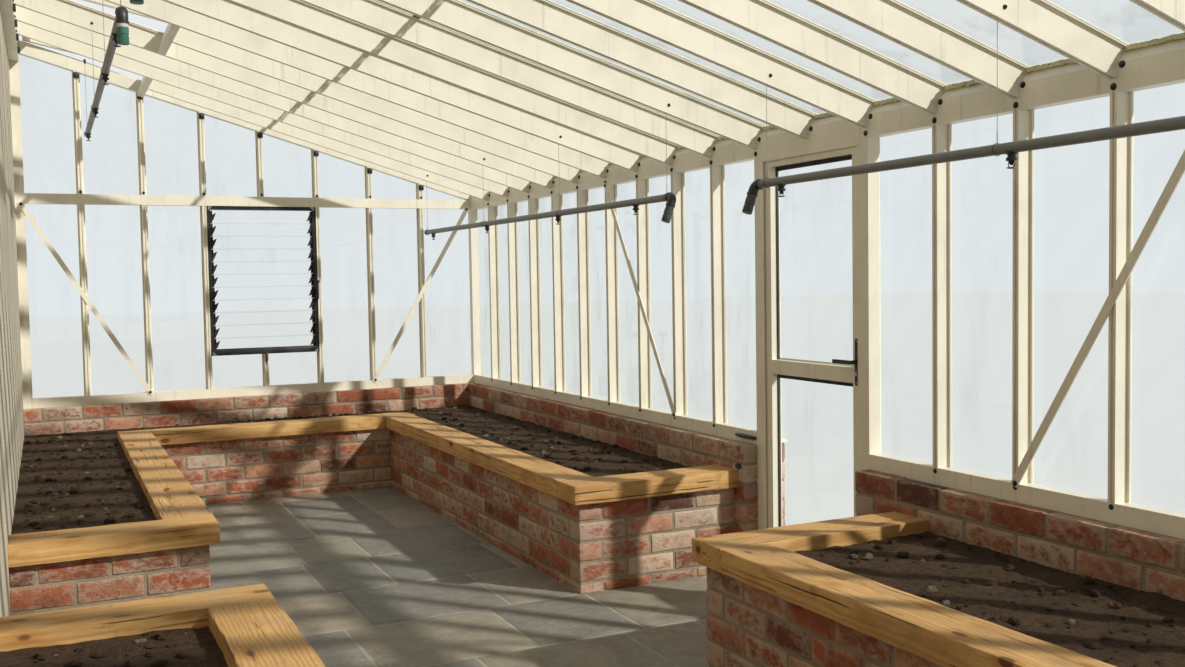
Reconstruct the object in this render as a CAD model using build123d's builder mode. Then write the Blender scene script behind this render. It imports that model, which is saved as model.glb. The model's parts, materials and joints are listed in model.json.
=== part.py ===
"""Lean-to glass greenhouse on brick dwarf walls, in millimetres.

X runs from the rear wall to the low glazed front, Y along the building to the far gable, Z up.
The origin lies on the ground at the middle of the outline. The near half lies at minus Y.
"""

import os
from math import atan2, cos, degrees, radians, sin, tan

from build123d import *

# Whole building
bay = 380.0
bays = 22
gable_bays = 8
room_depth = 3066.0
roof_pitch = radians(16.45)

# Masonry and floor
rear_wall_t = 225.0
rear_wall_over = 200.0
dwarf_wall_t = 215.0
dwarf_wall_h = 647.0
wall_inset = 65.0
floor_t = 50.0

# Frame and sill
frame_d = 55.0
sill_h = 62.0
sill_nose = 20.0
sill_ledge_drop = 19.0
sill_nose_drop = 49.0
pane_lap_sill = 12.0
eave_z = 1958.0
transom_low = 1964.0
transom_top = 2030.0

# Glazing bar section
stem_w = 26.0
flange_w = 46.0
flange_t = 4.0
groove_w = 8.0
groove_d = 6.0
neck_w = 8.0
cap_w = 40.0
cap_t = 6.0
cap_chamfer = 2.5

# Glass
glass_t = 4.0
seat = 0.3
pane_gap = 3.0
lap = 20.0
cap_lap = 15.0

# Roof
rafter_drop = 32.0
glass_v = 71.0
knee_z = 2045.0
eave_out = 75.0
seal_t = 12.0
seal_w = 22.0
eave_overhang = 110.0
joint_share = 0.478
joint_gap = 4.0
joint_w = 30.0
joint_t = 2.0
plate_d = 55.0
plate_hang = 22.0
wall_gap = 4.0
flashing_t = 2.0
flashing_up = 120.0
flashing_out = 60.0

# Roof vents
vent_every = 4
vent_bays = 2
vent_reach = 794.0
trimmer_w = 40.0
vent_setback = 80.0
vent_overlap = 15.0
vent_foot_lap = 30.0
vent_open = radians(5)
sash_rail = 45.0
sash_bar = 30.0
sash_t = 28.0
sash_rebate = 12.0
stay_w = 20.0
stay_t = 5.0

# Gutter
gutter_w = 89.0
gutter_low = 1990.0
gutter_h = 60.0
gutter_t = 3.0
gutter_r = 22.0

# Door
door_half = 342.0
post_w = 51.0
post_line = 24.0
head_t = 10.0
stop_t = 6.0
stop_lap = 10.0
door_gap = 5.0
swing_gap = 7.5
leaf_t = 44.0
stile_w = 53.0
top_rail = 36.0
bottom_rail = 100.0
mid_rail_low = 983.0
mid_rail_top = 1046.0
threshold_t = 10.0
bead_w = 8.0
bead_t = 5.0
gasket_w = 20.0
gasket_t = 6.0

# Hinges and handle
hinge_stand = 8.0
hinge_off = 2.5
knuckle_r = 6.0
pin_r = 3.0
pin_clearance = 0.05
knuckle_h = 34.0
knuckle_gap = 0.5
hinge_plate_t = 2.5
hinge_plate_w = 42.0
hinge_heights = (300.0, 1010.0, 1720.0)
handle_z = 1070.0
handle_plate_w = 22.0
handle_plate_h = 190.0
handle_plate_t = 4.0
lever_r = 8.0
lever_reach = 42.0
lever_len = 115.0

# Louvre window
louvre_first = 3
louvre_last = 5
louvre_low = 936.0
louvre_rim = 25.0
louvre_set = 8.0
louvre_d = 42.7
blades = 11
blade_tilt = 9.0
blade_overlap = 8.0
blade_gap = 2.0
clip_t = 14.0
clip_w = 11.0
clip_h = 84.0
clip_grip = 10.0
tooth = 18.0
lever_z = 1330.0
lever_h = 66.0
lever_w = 14.0
lever_out = 30.0

# Raised beds
skin_t = 102.0
bed_brick_h = 400.0
coping_t = 80.0
coping_w = 185.0
coping_over = 38.0
soil_drop = 40.0
timber_gap = 2.0
front_bed_far = 863.0
front_bed_near = 918.0
front_end_far = 484.0
front_end_near = 654.0
rear_bed = 670.0
rear_end = 518.0
end_bed = 657.0

# Spray lines and small fittings
pipe_r = 16.0
front_pipe_run = 456.0
front_pipe_hang = 393.0
rear_pipe_out = 425.0
rear_pipe_hang = 434.0
pipe_far = (0.9, 10.1)
pipe_near = (11.75, 21.1)
drop_len = 125.0
drop_lean = 20.0
elbow_r = 22.0
elbow_l = 46.0
cap_len = 38.0
nozzle_bays = (1.3, 4.1, 6.9, 9.2, 12.2, 15.1, 17.8, 20.6)
nozzle_r = 11.0
nozzle_h = 30.0
spray_r = 15.0
spray_t = 6.0
few_sides = 6
many_sides = 12
hanger_bars = (1, 4, 7, 10, 12, 15, 18, 21)
hanger_r = 1.5
strap_t = 1.5
strap_w = 12.0
brace_w = 30.0
brace_t = 5.0
brace_bays = 2
brace_bars = (14, 16)
catch_len = 160.0
catch_w = 14.0
catch_t = 10.0
hook_up = 18.0
hook_len = 46.0

# Levels and faces worked out from the sizes above
front_out = dwarf_wall_t - wall_inset + sill_nose
total_depth = rear_wall_t + room_depth + front_out
x_in = total_depth / 2 - front_out
rear_face = x_in - room_depth
y_in = bays * bay / 2
wall_face = x_in - wall_inset
wall_out = wall_face + dwarf_wall_t
wall_in_y = y_in - wall_inset
wall_out_y = wall_in_y + dwarf_wall_t
sill_top = dwarf_wall_h + sill_h
pane_low = sill_top - pane_lap_sill
rebate = glass_t + 2 * seat
frame_out = frame_d + rebate + cap_t
foot_z = transom_top
doorway_half = door_half + post_w
brick_top = floor_t + bed_brick_h
coping_top = brick_top + coping_t
soil_top = coping_top - soil_drop
gable_bay = room_depth / gable_bays
post_edge = frame_d - neck_w / 2
door_line = door_half + post_line
cap_v = glass_v + rebate + cap_t

# Wall and roof planes; each normal points out of the building
front = Plane.YZ.offset(x_in)
gable = Plane.XZ.offset(y_in)
roof = Plane(origin=(x_in, 0, foot_z), x_dir=(0, 1, 0), z_dir=(sin(roof_pitch), 0, cos(roof_pitch)))
low = (Align.CENTER, Align.MIN)


def slope_at(run, v):
    """Give the distance up the roof at which the plane v stands over a run from the front."""
    return (run + v * sin(roof_pitch)) / cos(roof_pitch)


def rake_z(x):
    """Give the height of the gable rafter's underside at x."""
    return foot_z + (x_in - x) * tan(roof_pitch)


def roof_y(i):
    """Give the y of roof bar i, counted from the far gable."""
    return y_in - bay * i


trimmer_run = room_depth - vent_reach
joint_run = room_depth * joint_share
rear_wall_h = rake_z(rear_face) + cap_v / cos(roof_pitch) + rear_wall_over
plate_low = rake_z(rear_face + plate_d) - rafter_drop / cos(roof_pitch) - plate_hang


def draw_box(x0, y0, x1, y1, mode=Mode.ADD):
    """Draw a rectangle between any two opposite corners on the current plane."""
    with Locations(((x0 + x1) / 2, (y0 + y1) / 2)):
        Rectangle(abs(x1 - x0), abs(y1 - y0), mode=mode)


def draw_spans(spans, width):
    """Draw a strip along the local y axis for each line, low end and high end."""
    for line, start, end in spans:
        with Locations((line, start)):
            Rectangle(width, end - start, align=low)


def draw_panes(lines, start, end):
    """Draw a pane between each two neighbouring bar lines."""
    for left, right in zip(lines, lines[1:]):
        with Locations(((left + right) / 2, start)):
            Rectangle(right - left - neck_w - 2 * pane_gap, end - start, align=low)


def draw_below_rake(gap):
    """Keep only what lies below the raked gable rafter, less a gap."""
    Polygon(
        (rear_face, floor_t),
        (x_in + front_out, floor_t),
        (x_in + front_out, rake_z(x_in + front_out) - gap),
        (rear_face, rake_z(rear_face) - gap),
        align=None,
        mode=Mode.INTERSECT,
    )


def add_bars(plane, depth, inner, outer, trim=None):
    """Add glazing bars to the current part: stem, flange, groove, neck and chamfered cap."""
    layers = (
        (inner, stem_w, 0, depth, Mode.ADD),
        (inner, flange_w, depth - flange_t, depth, Mode.ADD),
        (inner, groove_w, 0, groove_d, Mode.SUBTRACT),
        (outer, neck_w, depth, depth + rebate, Mode.ADD),
        (outer, cap_w, depth + rebate, depth + rebate + cap_t, Mode.ADD),
    )
    for spans, width, start, end, mode in layers:
        with BuildSketch(plane.offset(start)) as strips:
            draw_spans(spans, width)
            if trim:
                trim(0 if spans is inner else joint_gap)
        extrude(strips.sketch, amount=end - start, mode=mode)
    along = edges().filter_by(Axis(plane.origin, plane.y_dir))
    chamfer(along.group_by(Axis(plane.origin, plane.z_dir))[-1], cap_chamfer)


def draw_sill():
    """Draw the sill section: box under the frame, ledge falling to the nose."""
    Polygon(
        (0, dwarf_wall_h),
        (front_out, dwarf_wall_h),
        (front_out, sill_top - sill_nose_drop),
        (frame_d, sill_top - sill_ledge_drop),
        (frame_d, sill_top),
        (0, sill_top),
        align=None,
    )


def draw_eave():
    """Draw the eave beam section, with its sloping inner shoulder and top."""
    seat_v = (glass_v - seal_t) / cos(roof_pitch)
    shoulder = (foot_z + seat_v - knee_z) / (1 + tan(roof_pitch))
    Polygon(
        (x_in, eave_z),
        (x_in + frame_d, eave_z),
        (x_in + frame_d, gutter_low),
        (x_in + eave_out, gutter_low),
        (x_in + eave_out, rake_z(x_in + eave_out) + seat_v),
        (x_in + shoulder, knee_z + shoulder),
        (x_in, knee_z),
        align=None,
    )


def draw_plate():
    """Draw the wall plate section against the rear wall."""
    top_v = glass_v / cos(roof_pitch)
    Polygon(
        (rear_face, plate_low),
        (rear_face + plate_d, plate_low),
        (rear_face + plate_d, rake_z(rear_face + plate_d) + top_v),
        (rear_face, rake_z(rear_face) + top_v),
        align=None,
    )


# Floor and walls

with BuildPart() as floor_slab:
    with BuildSketch():
        draw_box(rear_face, -wall_in_y, wall_face, wall_in_y)
        draw_box(wall_face, -doorway_half, wall_out, doorway_half)
    extrude(amount=floor_t)

with BuildPart() as rear_wall:
    with BuildSketch():
        draw_box(rear_face - rear_wall_t, -wall_out_y, rear_face, wall_out_y)
    extrude(amount=rear_wall_h)

with BuildPart() as gable_walls:
    with BuildSketch():
        draw_box(rear_face, -wall_out_y, wall_face, -wall_in_y)
    extrude(amount=dwarf_wall_h)
    mirror(about=Plane.XZ)

with BuildPart() as front_walls:
    with BuildSketch():
        draw_box(wall_face, -wall_out_y, wall_out, -doorway_half)
    extrude(amount=dwarf_wall_h)
    mirror(about=Plane.XZ)

# Raised beds: brick skins, timber copings and soil

far_x = x_in - front_bed_far
near_x = x_in - front_bed_near
rear_x = rear_face + rear_bed
end_y = wall_in_y - end_bed
coping_in = coping_w - coping_over
side_beds = (
    (far_x, wall_face, front_end_far, 1),
    (near_x, wall_face, front_end_near, -1),
    (rear_x, rear_face, rear_end, 1),
    (rear_x, rear_face, rear_end, -1),
)
end_beds = ((far_x, 1), (near_x, -1))
soil_layers = ((floor_t, brick_top, skin_t), (brick_top, soil_top, coping_in))


def draw_skin(path_x, wall_x, end, side):
    """Draw the L-shaped brick skin of a side bed: end wall and path wall."""
    inner_x = path_x + skin_t * (1 if wall_x > path_x else -1)
    draw_box(path_x, side * end, wall_x, side * (end + skin_t))
    draw_box(path_x, side * end, inner_x, side * (end_y + skin_t))


def draw_timbers(path_x, wall_x, end, side):
    """Draw the end timber and the long timber on a side bed."""
    inward = 1 if wall_x > path_x else -1
    edge = path_x - inward * coping_over
    tip = end - coping_over
    draw_box(edge, side * tip, wall_x, side * (tip + coping_w))
    draw_box(
        edge,
        side * (tip + coping_w + timber_gap),
        edge + inward * coping_w,
        side * (end_y - coping_over + coping_w),
    )


with BuildPart() as side_bed_walls:
    with BuildSketch(Plane.XY.offset(floor_t)):
        for bed in side_beds:
            draw_skin(*bed)
    extrude(amount=bed_brick_h)

with BuildPart() as end_bed_walls:
    with BuildSketch(Plane.XY.offset(floor_t)):
        for path_x, side in end_beds:
            draw_box(rear_x, side * end_y, path_x, side * (end_y + skin_t))
    extrude(amount=bed_brick_h)

with BuildPart() as bed_copings:
    with BuildSketch(Plane.XY.offset(brick_top)):
        for bed in side_beds:
            draw_timbers(*bed)
        for path_x, side in end_beds:
            draw_box(
                rear_x + coping_over + timber_gap,
                side * (end_y - coping_over),
                path_x - coping_over - timber_gap,
                side * (end_y + coping_in),
            )
    extrude(amount=coping_t)

with BuildPart() as side_bed_soil:
    for start, end, inset in soil_layers:
        with BuildSketch(Plane.XY.offset(start)):
            for path_x, wall_x, bed_end, side in side_beds:
                inner_x = path_x + inset * (1 if wall_x > path_x else -1)
                draw_box(inner_x, side * (bed_end + inset), wall_x, side * wall_in_y)
        extrude(amount=end - start)

with BuildPart() as end_bed_soil:
    for start, end, inset in soil_layers:
        with BuildSketch(Plane.XY.offset(start)):
            for path_x, side in end_beds:
                draw_box(rear_x - inset, side * (end_y + inset), path_x + inset, side * wall_in_y)
        extrude(amount=end - start)

# Sills, mitred at the two front corners

mitre = Plane(origin=(x_in, -y_in, 0), z_dir=(1, 1, 0))

with BuildPart() as front_sills:
    with BuildSketch(Plane(origin=(x_in, -doorway_half, 0), z_dir=(0, -1, 0), x_dir=(1, 0, 0))):
        draw_sill()
    extrude(amount=y_in + front_out - doorway_half)
    split(bisect_by=mitre, keep=Keep.TOP)
    mirror(about=Plane.XZ)

with BuildPart() as gable_sills:
    with BuildSketch(Plane(origin=(x_in + front_out, -y_in, 0), z_dir=(-1, 0, 0), x_dir=(0, -1, 0))):
        draw_sill()
    extrude(amount=room_depth + front_out)
    split(bisect_by=mitre, keep=Keep.BOTTOM)
    mirror(about=Plane.XZ)

# Posts at the corners and against the rear wall

def draw_corner(start, end, mode=Mode.ADD):
    """Draw a square over the near front corner, from start to end outside both inner faces."""
    draw_box(x_in + start, -y_in - end, x_in + end, -y_in - start, mode=mode)


with BuildPart() as corner_posts:
    with BuildSketch(Plane.XY.offset(sill_top)):
        draw_corner(0, frame_d)
    extrude(amount=eave_z - sill_top)
    with BuildSketch(Plane.XY.offset(pane_low)):
        draw_corner(post_edge - cap_w / 2, frame_out)
        draw_corner(0, frame_d + rebate, mode=Mode.SUBTRACT)
        draw_corner(frame_d - neck_w, frame_d + rebate)
        draw_corner(0, frame_d, mode=Mode.SUBTRACT)
    extrude(amount=eave_z - pane_low)
    for width, start, end, gap in (
        (frame_d, 0, frame_d, 0),
        (neck_w, frame_d, frame_d + rebate, joint_gap),
        (cap_w / 2 + neck_w / 2, frame_d + rebate, frame_out, joint_gap),
    ):
        with BuildSketch(gable.offset(start)):
            draw_box(rear_face, pane_low if gap else sill_top, rear_face + width, rear_wall_h)
            draw_below_rake(gap)
        extrude(amount=end - start)
    mirror(about=Plane.XZ)

# Glazing bars of the front and the gables

front_bar_y = [bay * i - y_in for i in range(1, bays // 2 - 1)]
gable_bar_x = [rear_face + gable_bay * j for j in range(1, gable_bays)]
louvre_left = rear_face + gable_bay * louvre_first
louvre_right = rear_face + gable_bay * louvre_last
louvre_mid = (louvre_left + louvre_right) / 2
through_x = [x for x in gable_bar_x if not louvre_left < x < louvre_right]

with BuildPart() as front_mullions:
    add_bars(
        front,
        frame_d,
        [(y, sill_top, eave_z) for y in front_bar_y],
        [(y, pane_low, eave_z + cap_lap) for y in front_bar_y],
    )
    mirror(about=Plane.XZ)

with BuildPart() as gable_mullions:
    add_bars(
        gable,
        frame_d,
        [(x, sill_top, transom_low) for x in through_x]
        + [(louvre_mid, sill_top, louvre_low)]
        + [(x, transom_top, rear_wall_h) for x in gable_bar_x],
        [(x, pane_low, rear_wall_h) for x in through_x]
        + [(louvre_mid, pane_low, louvre_low + cap_lap)]
        + [(louvre_mid, transom_top - cap_lap, rear_wall_h)],
        draw_below_rake,
    )
    mirror(about=Plane.XZ)

with BuildPart() as gable_transoms:
    with BuildSketch(gable):
        draw_box(rear_face + frame_d, transom_low, x_in, transom_top)
    extrude(amount=frame_d)
    mirror(about=Plane.XZ)

# Eave beam, seal and gutter

eave_half = y_in + frame_d

with BuildPart() as eave_beam:
    with BuildSketch(Plane.XZ):
        draw_eave()
    extrude(amount=eave_half, both=True)

with BuildPart() as eave_seal:
    with BuildSketch(roof.offset(glass_v - seal_t)):
        for i in range(bays):
            with Locations(((roof_y(i) + roof_y(i + 1)) / 2, slope_at(-frame_d, glass_v))):
                Rectangle(bay - flange_w - 2 * seat, seal_w, align=low)
    extrude(amount=seal_t)

with BuildPart() as eave_gutter:
    with BuildSketch(Plane.XZ.offset(-eave_half)) as trough:
        draw_box(x_in + eave_out, gutter_low, x_in + eave_out + gutter_w, gutter_low + gutter_h)
        fillet(trough.vertices().group_by(Axis.Y)[0], gutter_r)
    extrude(amount=2 * eave_half)
    with BuildSketch(Plane.XZ.offset(gutter_t - eave_half)) as bore:
        draw_box(
            x_in + eave_out + gutter_t,
            gutter_low + gutter_t,
            x_in + eave_out + gutter_w - gutter_t,
            gutter_low + gutter_h,
        )
        fillet(bore.vertices().group_by(Axis.Y)[0], gutter_r - gutter_t)
    extrude(amount=2 * (eave_half - gutter_t), mode=Mode.SUBTRACT)

# Rafters, cut over the eave beam and against the wall plate

foot_s = slope_at(-eave_out, glass_v)
eave_s = slope_at(-eave_overhang, glass_v)
trim_s = slope_at(trimmer_run, 0)
head_s = slope_at(room_depth + rear_wall_t, cap_v)
rear_plane = Plane(origin=(rear_face, 0, 0), z_dir=(1, 0, 0))
cut_bars = [i for i in range(1, bays) if i % vent_every == vent_bays // 2]
full_bars = [i for i in range(1, bays) if i not in cut_bars]

with BuildPart() as rafters:
    add_bars(
        roof.offset(-rafter_drop),
        glass_v + rafter_drop,
        [(roof_y(i), foot_s, head_s) for i in full_bars] + [(roof_y(i), foot_s, trim_s) for i in cut_bars],
        [(roof_y(i), eave_s, head_s) for i in full_bars]
        + [(roof_y(i), eave_s, trim_s + cap_lap) for i in cut_bars],
    )
    with BuildSketch(Plane.XZ):
        draw_eave()
        draw_plate()
    extrude(amount=y_in, both=True, mode=Mode.SUBTRACT)
    split(bisect_by=rear_plane, keep=Keep.TOP)

with BuildPart() as gable_rafters:
    for inner, outer, start, end, foot in (
        (0, frame_d, 0, glass_v, foot_s),
        (frame_d - neck_w, frame_out, glass_v, glass_v + rebate, eave_s),
        (frame_d - cap_w + neck_w, frame_out, glass_v + rebate, cap_v, eave_s),
        (frame_d + rebate, frame_out, 0, cap_v, eave_s),
    ):
        with BuildSketch(roof.offset(start)):
            draw_box(-y_in - outer, foot, -y_in - inner, head_s)
        extrude(amount=end - start)
    with BuildSketch(Plane.XZ):
        draw_eave()
    extrude(amount=eave_half, both=True, mode=Mode.SUBTRACT)
    split(bisect_by=rear_plane, keep=Keep.TOP)
    mirror(about=Plane.XZ)

with BuildPart() as wall_plate:
    with BuildSketch(Plane.XZ):
        draw_plate()
    extrude(amount=y_in, both=True)

# Roof vents: trimmers, sashes set ajar, panes and stays

vent_bars = [i for i in range(0, bays, vent_every)]
vent_y = [roof_y(i + vent_bays / 2) for i in vent_bars]
hinge_s = slope_at(room_depth - vent_setback, cap_v)
hinge_point = roof.from_local_coords(Vector(0, hinge_s, cap_v + seat))
sash_pitch = roof_pitch - vent_open
sash_plane = Plane(origin=hinge_point, x_dir=(0, 1, 0), z_dir=(sin(sash_pitch), 0, cos(sash_pitch)))
sash_w = vent_bays * bay + 2 * vent_overlap
sash_l = hinge_s - trim_s + vent_foot_lap
light_w = (sash_w - 2 * sash_rail - sash_bar) / 2
light_l = sash_l - 2 * sash_rail


def bar_side(i, half, side):
    """Give the y of the side face of roof bar i, or of the gable rafter's inner face."""
    return roof_y(i) if i in (0, bays) else roof_y(i) + side * half


def draw_lights(margin):
    """Draw both openings of every sash, grown by a margin."""
    for y in vent_y:
        for side in (-1, 1):
            with Locations((y + side * (light_w + sash_bar) / 2, -sash_l / 2)):
                Rectangle(light_w + 2 * margin, light_l + 2 * margin)


with BuildPart() as vent_trimmers:
    for start, end, half in (
        (-rafter_drop, glass_v - flange_t, stem_w / 2),
        (glass_v - flange_t, glass_v, flange_w / 2),
    ):
        with BuildSketch(roof.offset(start)):
            for i in vent_bars:
                far_side = bar_side(i, half, -1)
                near_side = bar_side(i + vent_bays, half, 1)
                draw_box(near_side, trim_s, far_side, trim_s + trimmer_w)
        extrude(amount=end - start)

with BuildPart() as vent_sashes:
    with BuildSketch(sash_plane):
        with Locations(*[(y, -sash_l / 2) for y in vent_y]):
            Rectangle(sash_w, sash_l)
    extrude(amount=sash_t)
    with BuildSketch(sash_plane):
        draw_lights(0)
    extrude(amount=sash_t, mode=Mode.SUBTRACT)
    with BuildSketch(sash_plane.offset(sash_t - rebate)):
        draw_lights(sash_rebate)
    extrude(amount=rebate, mode=Mode.SUBTRACT)

with BuildPart() as vent_glass:
    with BuildSketch(sash_plane.offset(sash_t - rebate + seat)):
        draw_lights(sash_rebate - seat)
    extrude(amount=glass_t)

with BuildPart() as vent_stays:
    stay_s = trim_s + trimmer_w - stay_t
    stay_top = cap_v + (hinge_s - stay_s - stay_t / 2) * tan(vent_open)
    with BuildSketch(roof.offset(glass_v)):
        with Locations(*[(y, stay_s) for y in vent_y]):
            Rectangle(stay_w, stay_t)
    extrude(amount=stay_top - glass_v)

# Glass

front_lines = [-y_in - post_edge] + front_bar_y + [-door_line]
gable_lines = [rear_face + neck_w / 2] + gable_bar_x + [x_in + post_edge]
roof_lines = [y_in + post_edge] + [roof_y(i) for i in range(1, bays)] + [-y_in - post_edge]
top_s = slope_at(room_depth - wall_gap, glass_v)
joint_s = slope_at(joint_run, glass_v)

with BuildPart() as front_glass:
    with BuildSketch(front.offset(frame_d + seat)):
        draw_panes(front_lines, pane_low, eave_z + lap)
    extrude(amount=glass_t)
    mirror(about=Plane.XZ)

with BuildPart() as gable_glass:
    with BuildSketch(gable.offset(frame_d + seat)):
        draw_panes(gable_lines[: louvre_first + 1], pane_low, transom_low + cap_lap)
        draw_panes(gable_lines[louvre_first : louvre_last + 1], pane_low, louvre_low + cap_lap)
        draw_panes(gable_lines[louvre_last:], pane_low, transom_low + cap_lap)
        draw_panes(gable_lines, transom_top - cap_lap, rear_wall_h)
        draw_below_rake(-lap)
    extrude(amount=glass_t)
    mirror(about=Plane.XZ)

with BuildPart() as roof_glass_lower:
    with BuildSketch(roof.offset(glass_v + seat)):
        draw_panes(roof_lines[::-1], eave_s, joint_s - joint_gap / 2)
    extrude(amount=glass_t)

with BuildPart() as roof_glass_upper:
    with BuildSketch(roof.offset(glass_v + seat)):
        for i in range(bays):
            end = trim_s + lap if i % vent_every < vent_bays else top_s
            draw_panes([roof_lines[i + 1], roof_lines[i]], joint_s + joint_gap / 2, end)
    extrude(amount=glass_t)

with BuildPart() as pane_joints:
    clear = bay - flange_w - 2 * seat
    for start, end, width in (
        (glass_v - joint_t, glass_v, joint_w),
        (glass_v, glass_v + rebate, joint_gap - 2 * seat),
        (glass_v + rebate, glass_v + rebate + joint_t, joint_w),
    ):
        with BuildSketch(roof.offset(start)):
            for i in range(bays):
                with Locations(((roof_y(i) + roof_y(i + 1)) / 2, joint_s)):
                    Rectangle(clear, width)
        extrude(amount=end - start)

with BuildPart() as ridge_flashing:
    with BuildSketch(roof.offset(cap_v + seat)):
        draw_box(-y_in, slope_at(room_depth - flashing_out, cap_v), y_in, head_s)
    extrude(amount=flashing_t)
    split(bisect_by=rear_plane, keep=Keep.TOP)
    with BuildSketch(Plane.XZ):
        wall_z = rake_z(rear_face) + (cap_v + seat) / cos(roof_pitch)
        draw_box(rear_face, wall_z, rear_face + flashing_t, wall_z + flashing_up)
    extrude(amount=y_in, both=True)

# Flat braces on the inner faces

front_braces = (((roof_y(brace_bars[0]), sill_top), (roof_y(brace_bars[1]), eave_z)),)
gable_braces = (
    ((rear_face + brace_w, transom_low), (rear_face + gable_bay * brace_bays, sill_top)),
    ((x_in - brace_w, transom_low), (x_in - gable_bay * brace_bays, sill_top)),
)


def draw_braces(pairs):
    """Draw a round-ended flat bar for each pair of ends."""
    for start, end in pairs:
        bar = Vector(*end) - Vector(*start)
        middle = (Vector(*end) + Vector(*start)) / 2
        with Locations(Location((middle.X, middle.Y, 0), (0, 0, degrees(atan2(bar.Y, bar.X))))):
            SlotCenterToCenter(bar.length, brace_w)


with BuildPart() as wall_braces:
    for plane, pairs in ((front, front_braces), (gable, gable_braces)):
        with BuildSketch(plane.offset(-brace_t)):
            draw_braces(pairs)
        extrude(amount=brace_t)
    mirror(about=Plane.XZ)

# Louvre windows: black frame, tilted glass blades, end clips with teeth

louvre_body = (louvre_left + stem_w / 2, louvre_right - stem_w / 2)
louvre_lip = (louvre_left + flange_w / 2, louvre_right - flange_w / 2)
blade_room = transom_low - louvre_low - 2 * (louvre_rim + blade_gap)
blade_pitch = (blade_room - blade_overlap) / blades
blade_h = blade_pitch + blade_overlap
blade_out = louvre_set + louvre_d / 2
blade_low = louvre_low + louvre_rim + blade_gap + blade_h / 2
blade_spots = [blade_low + blade_pitch * k for k in range(blades)]
louvre_span = louvre_body[1] - louvre_body[0] - 2 * louvre_rim


def louvre_side(inset):
    """Give the side-view plane of the louvre at an inset from its front-wall end."""
    start = louvre_body[1] - louvre_rim - inset
    return Plane(origin=(start, -y_in, 0), x_dir=(0, -1, 0), z_dir=(-1, 0, 0))


def draw_blades(width, height):
    """Draw the tilted section of every blade."""
    for z in blade_spots:
        with Locations(Location((blade_out, z, 0), (0, 0, blade_tilt))):
            Rectangle(width, height)


with BuildPart() as louvre_frames:
    for (left, right), start, end in (
        (louvre_body, louvre_set, louvre_set + louvre_d),
        (louvre_lip, louvre_set + louvre_d, frame_d),
    ):
        with BuildSketch(gable.offset(start)):
            draw_box(left, louvre_low, right, transom_low)
        extrude(amount=end - start)
    with BuildSketch(gable):
        draw_box(
            louvre_body[0] + louvre_rim,
            louvre_low + louvre_rim,
            louvre_body[1] - louvre_rim,
            transom_low - louvre_rim,
        )
    extrude(amount=frame_d, mode=Mode.SUBTRACT)
    for inset in (0, louvre_span - clip_t):
        with BuildSketch(louvre_side(inset)):
            draw_blades(clip_w, clip_h)
            for z in blade_spots:
                with Locations((blade_out, z)):
                    Polygon((0, -tooth), (-clip_w / 2 - tooth, tooth), (0, tooth / 2), align=None)
        extrude(amount=clip_t)
    with BuildSketch(louvre_side(clip_t - clip_grip)):
        draw_blades(rebate, blade_h)
    extrude(amount=louvre_span - 2 * clip_t + 2 * clip_grip, mode=Mode.SUBTRACT)
    with BuildSketch(louvre_side(-louvre_rim)):
        Polygon(
            (louvre_set, lever_z),
            (louvre_set - lever_out, lever_z + lever_h / 2),
            (louvre_set - lever_out, lever_z + lever_h),
            (louvre_set - lever_w, lever_z + lever_h),
            (louvre_set, lever_z + lever_w),
            align=None,
        )
    extrude(amount=lever_w)
    mirror(about=Plane.XZ)

with BuildPart() as louvre_blades:
    with BuildSketch(louvre_side(clip_t - clip_grip + seat)):
        draw_blades(glass_t, blade_h)
    extrude(amount=louvre_span - 2 * (clip_t - clip_grip + seat))
    mirror(about=Plane.XZ)

# Door frame with its stops and threshold

leaf_in = stop_t + door_gap
leaf_low = floor_t + threshold_t + door_gap
leaf_top = eave_z - head_t - door_gap
leaf_near = -door_half + swing_gap
leaf_far = door_half - door_gap

with BuildPart() as door_frame:
    with BuildSketch(front):
        draw_box(-doorway_half, floor_t, doorway_half, eave_z)
        draw_box(-door_half, floor_t + threshold_t, door_half, eave_z - head_t, mode=Mode.SUBTRACT)
    extrude(amount=frame_d)
    with BuildSketch(front):
        draw_box(-door_half, floor_t + threshold_t, door_half, eave_z - head_t)
        draw_box(
            leaf_near + stop_lap,
            floor_t + threshold_t,
            leaf_far - stop_lap,
            leaf_top - stop_lap,
            mode=Mode.SUBTRACT,
        )
    extrude(amount=stop_t)
    for width, start, end in ((neck_w, frame_d, frame_d + rebate), (cap_w, frame_d + rebate, frame_out)):
        with BuildSketch(front.offset(start)):
            draw_spans([(-door_line, pane_low, eave_z), (door_line, pane_low, eave_z)], width)
        extrude(amount=end - start)

# Door leaf, glass and gasket

light_near = leaf_near + stile_w
light_far = leaf_far - stile_w
lights = (
    (leaf_low + bottom_rail, mid_rail_low),
    (mid_rail_top, leaf_top - top_rail),
)
bead_in = frame_d - bead_t


def draw_door_lights(inset, mode=Mode.ADD):
    """Draw both openings of the door leaf, drawn in by an inset."""
    for start, end in lights:
        draw_box(light_near + inset, start + inset, light_far - inset, end - inset, mode=mode)


with BuildPart() as door_leaf:
    with BuildSketch(front.offset(leaf_in)):
        draw_box(leaf_near, leaf_low, leaf_far, leaf_top)
        draw_door_lights(bead_w, mode=Mode.SUBTRACT)
    extrude(amount=leaf_t)
    with BuildSketch(front.offset(leaf_in)):
        draw_door_lights(0)
    extrude(amount=leaf_t - bead_t, mode=Mode.SUBTRACT)

with BuildPart() as door_glass:
    with BuildSketch(front.offset(bead_in - seat - glass_t)):
        draw_door_lights(seat)
    extrude(amount=glass_t)

with BuildPart() as door_gasket:
    with BuildSketch(front.offset(bead_in - 2 * seat - glass_t - gasket_t)):
        draw_door_lights(seat)
        draw_door_lights(gasket_w, mode=Mode.SUBTRACT)
    extrude(amount=gasket_t)

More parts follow.
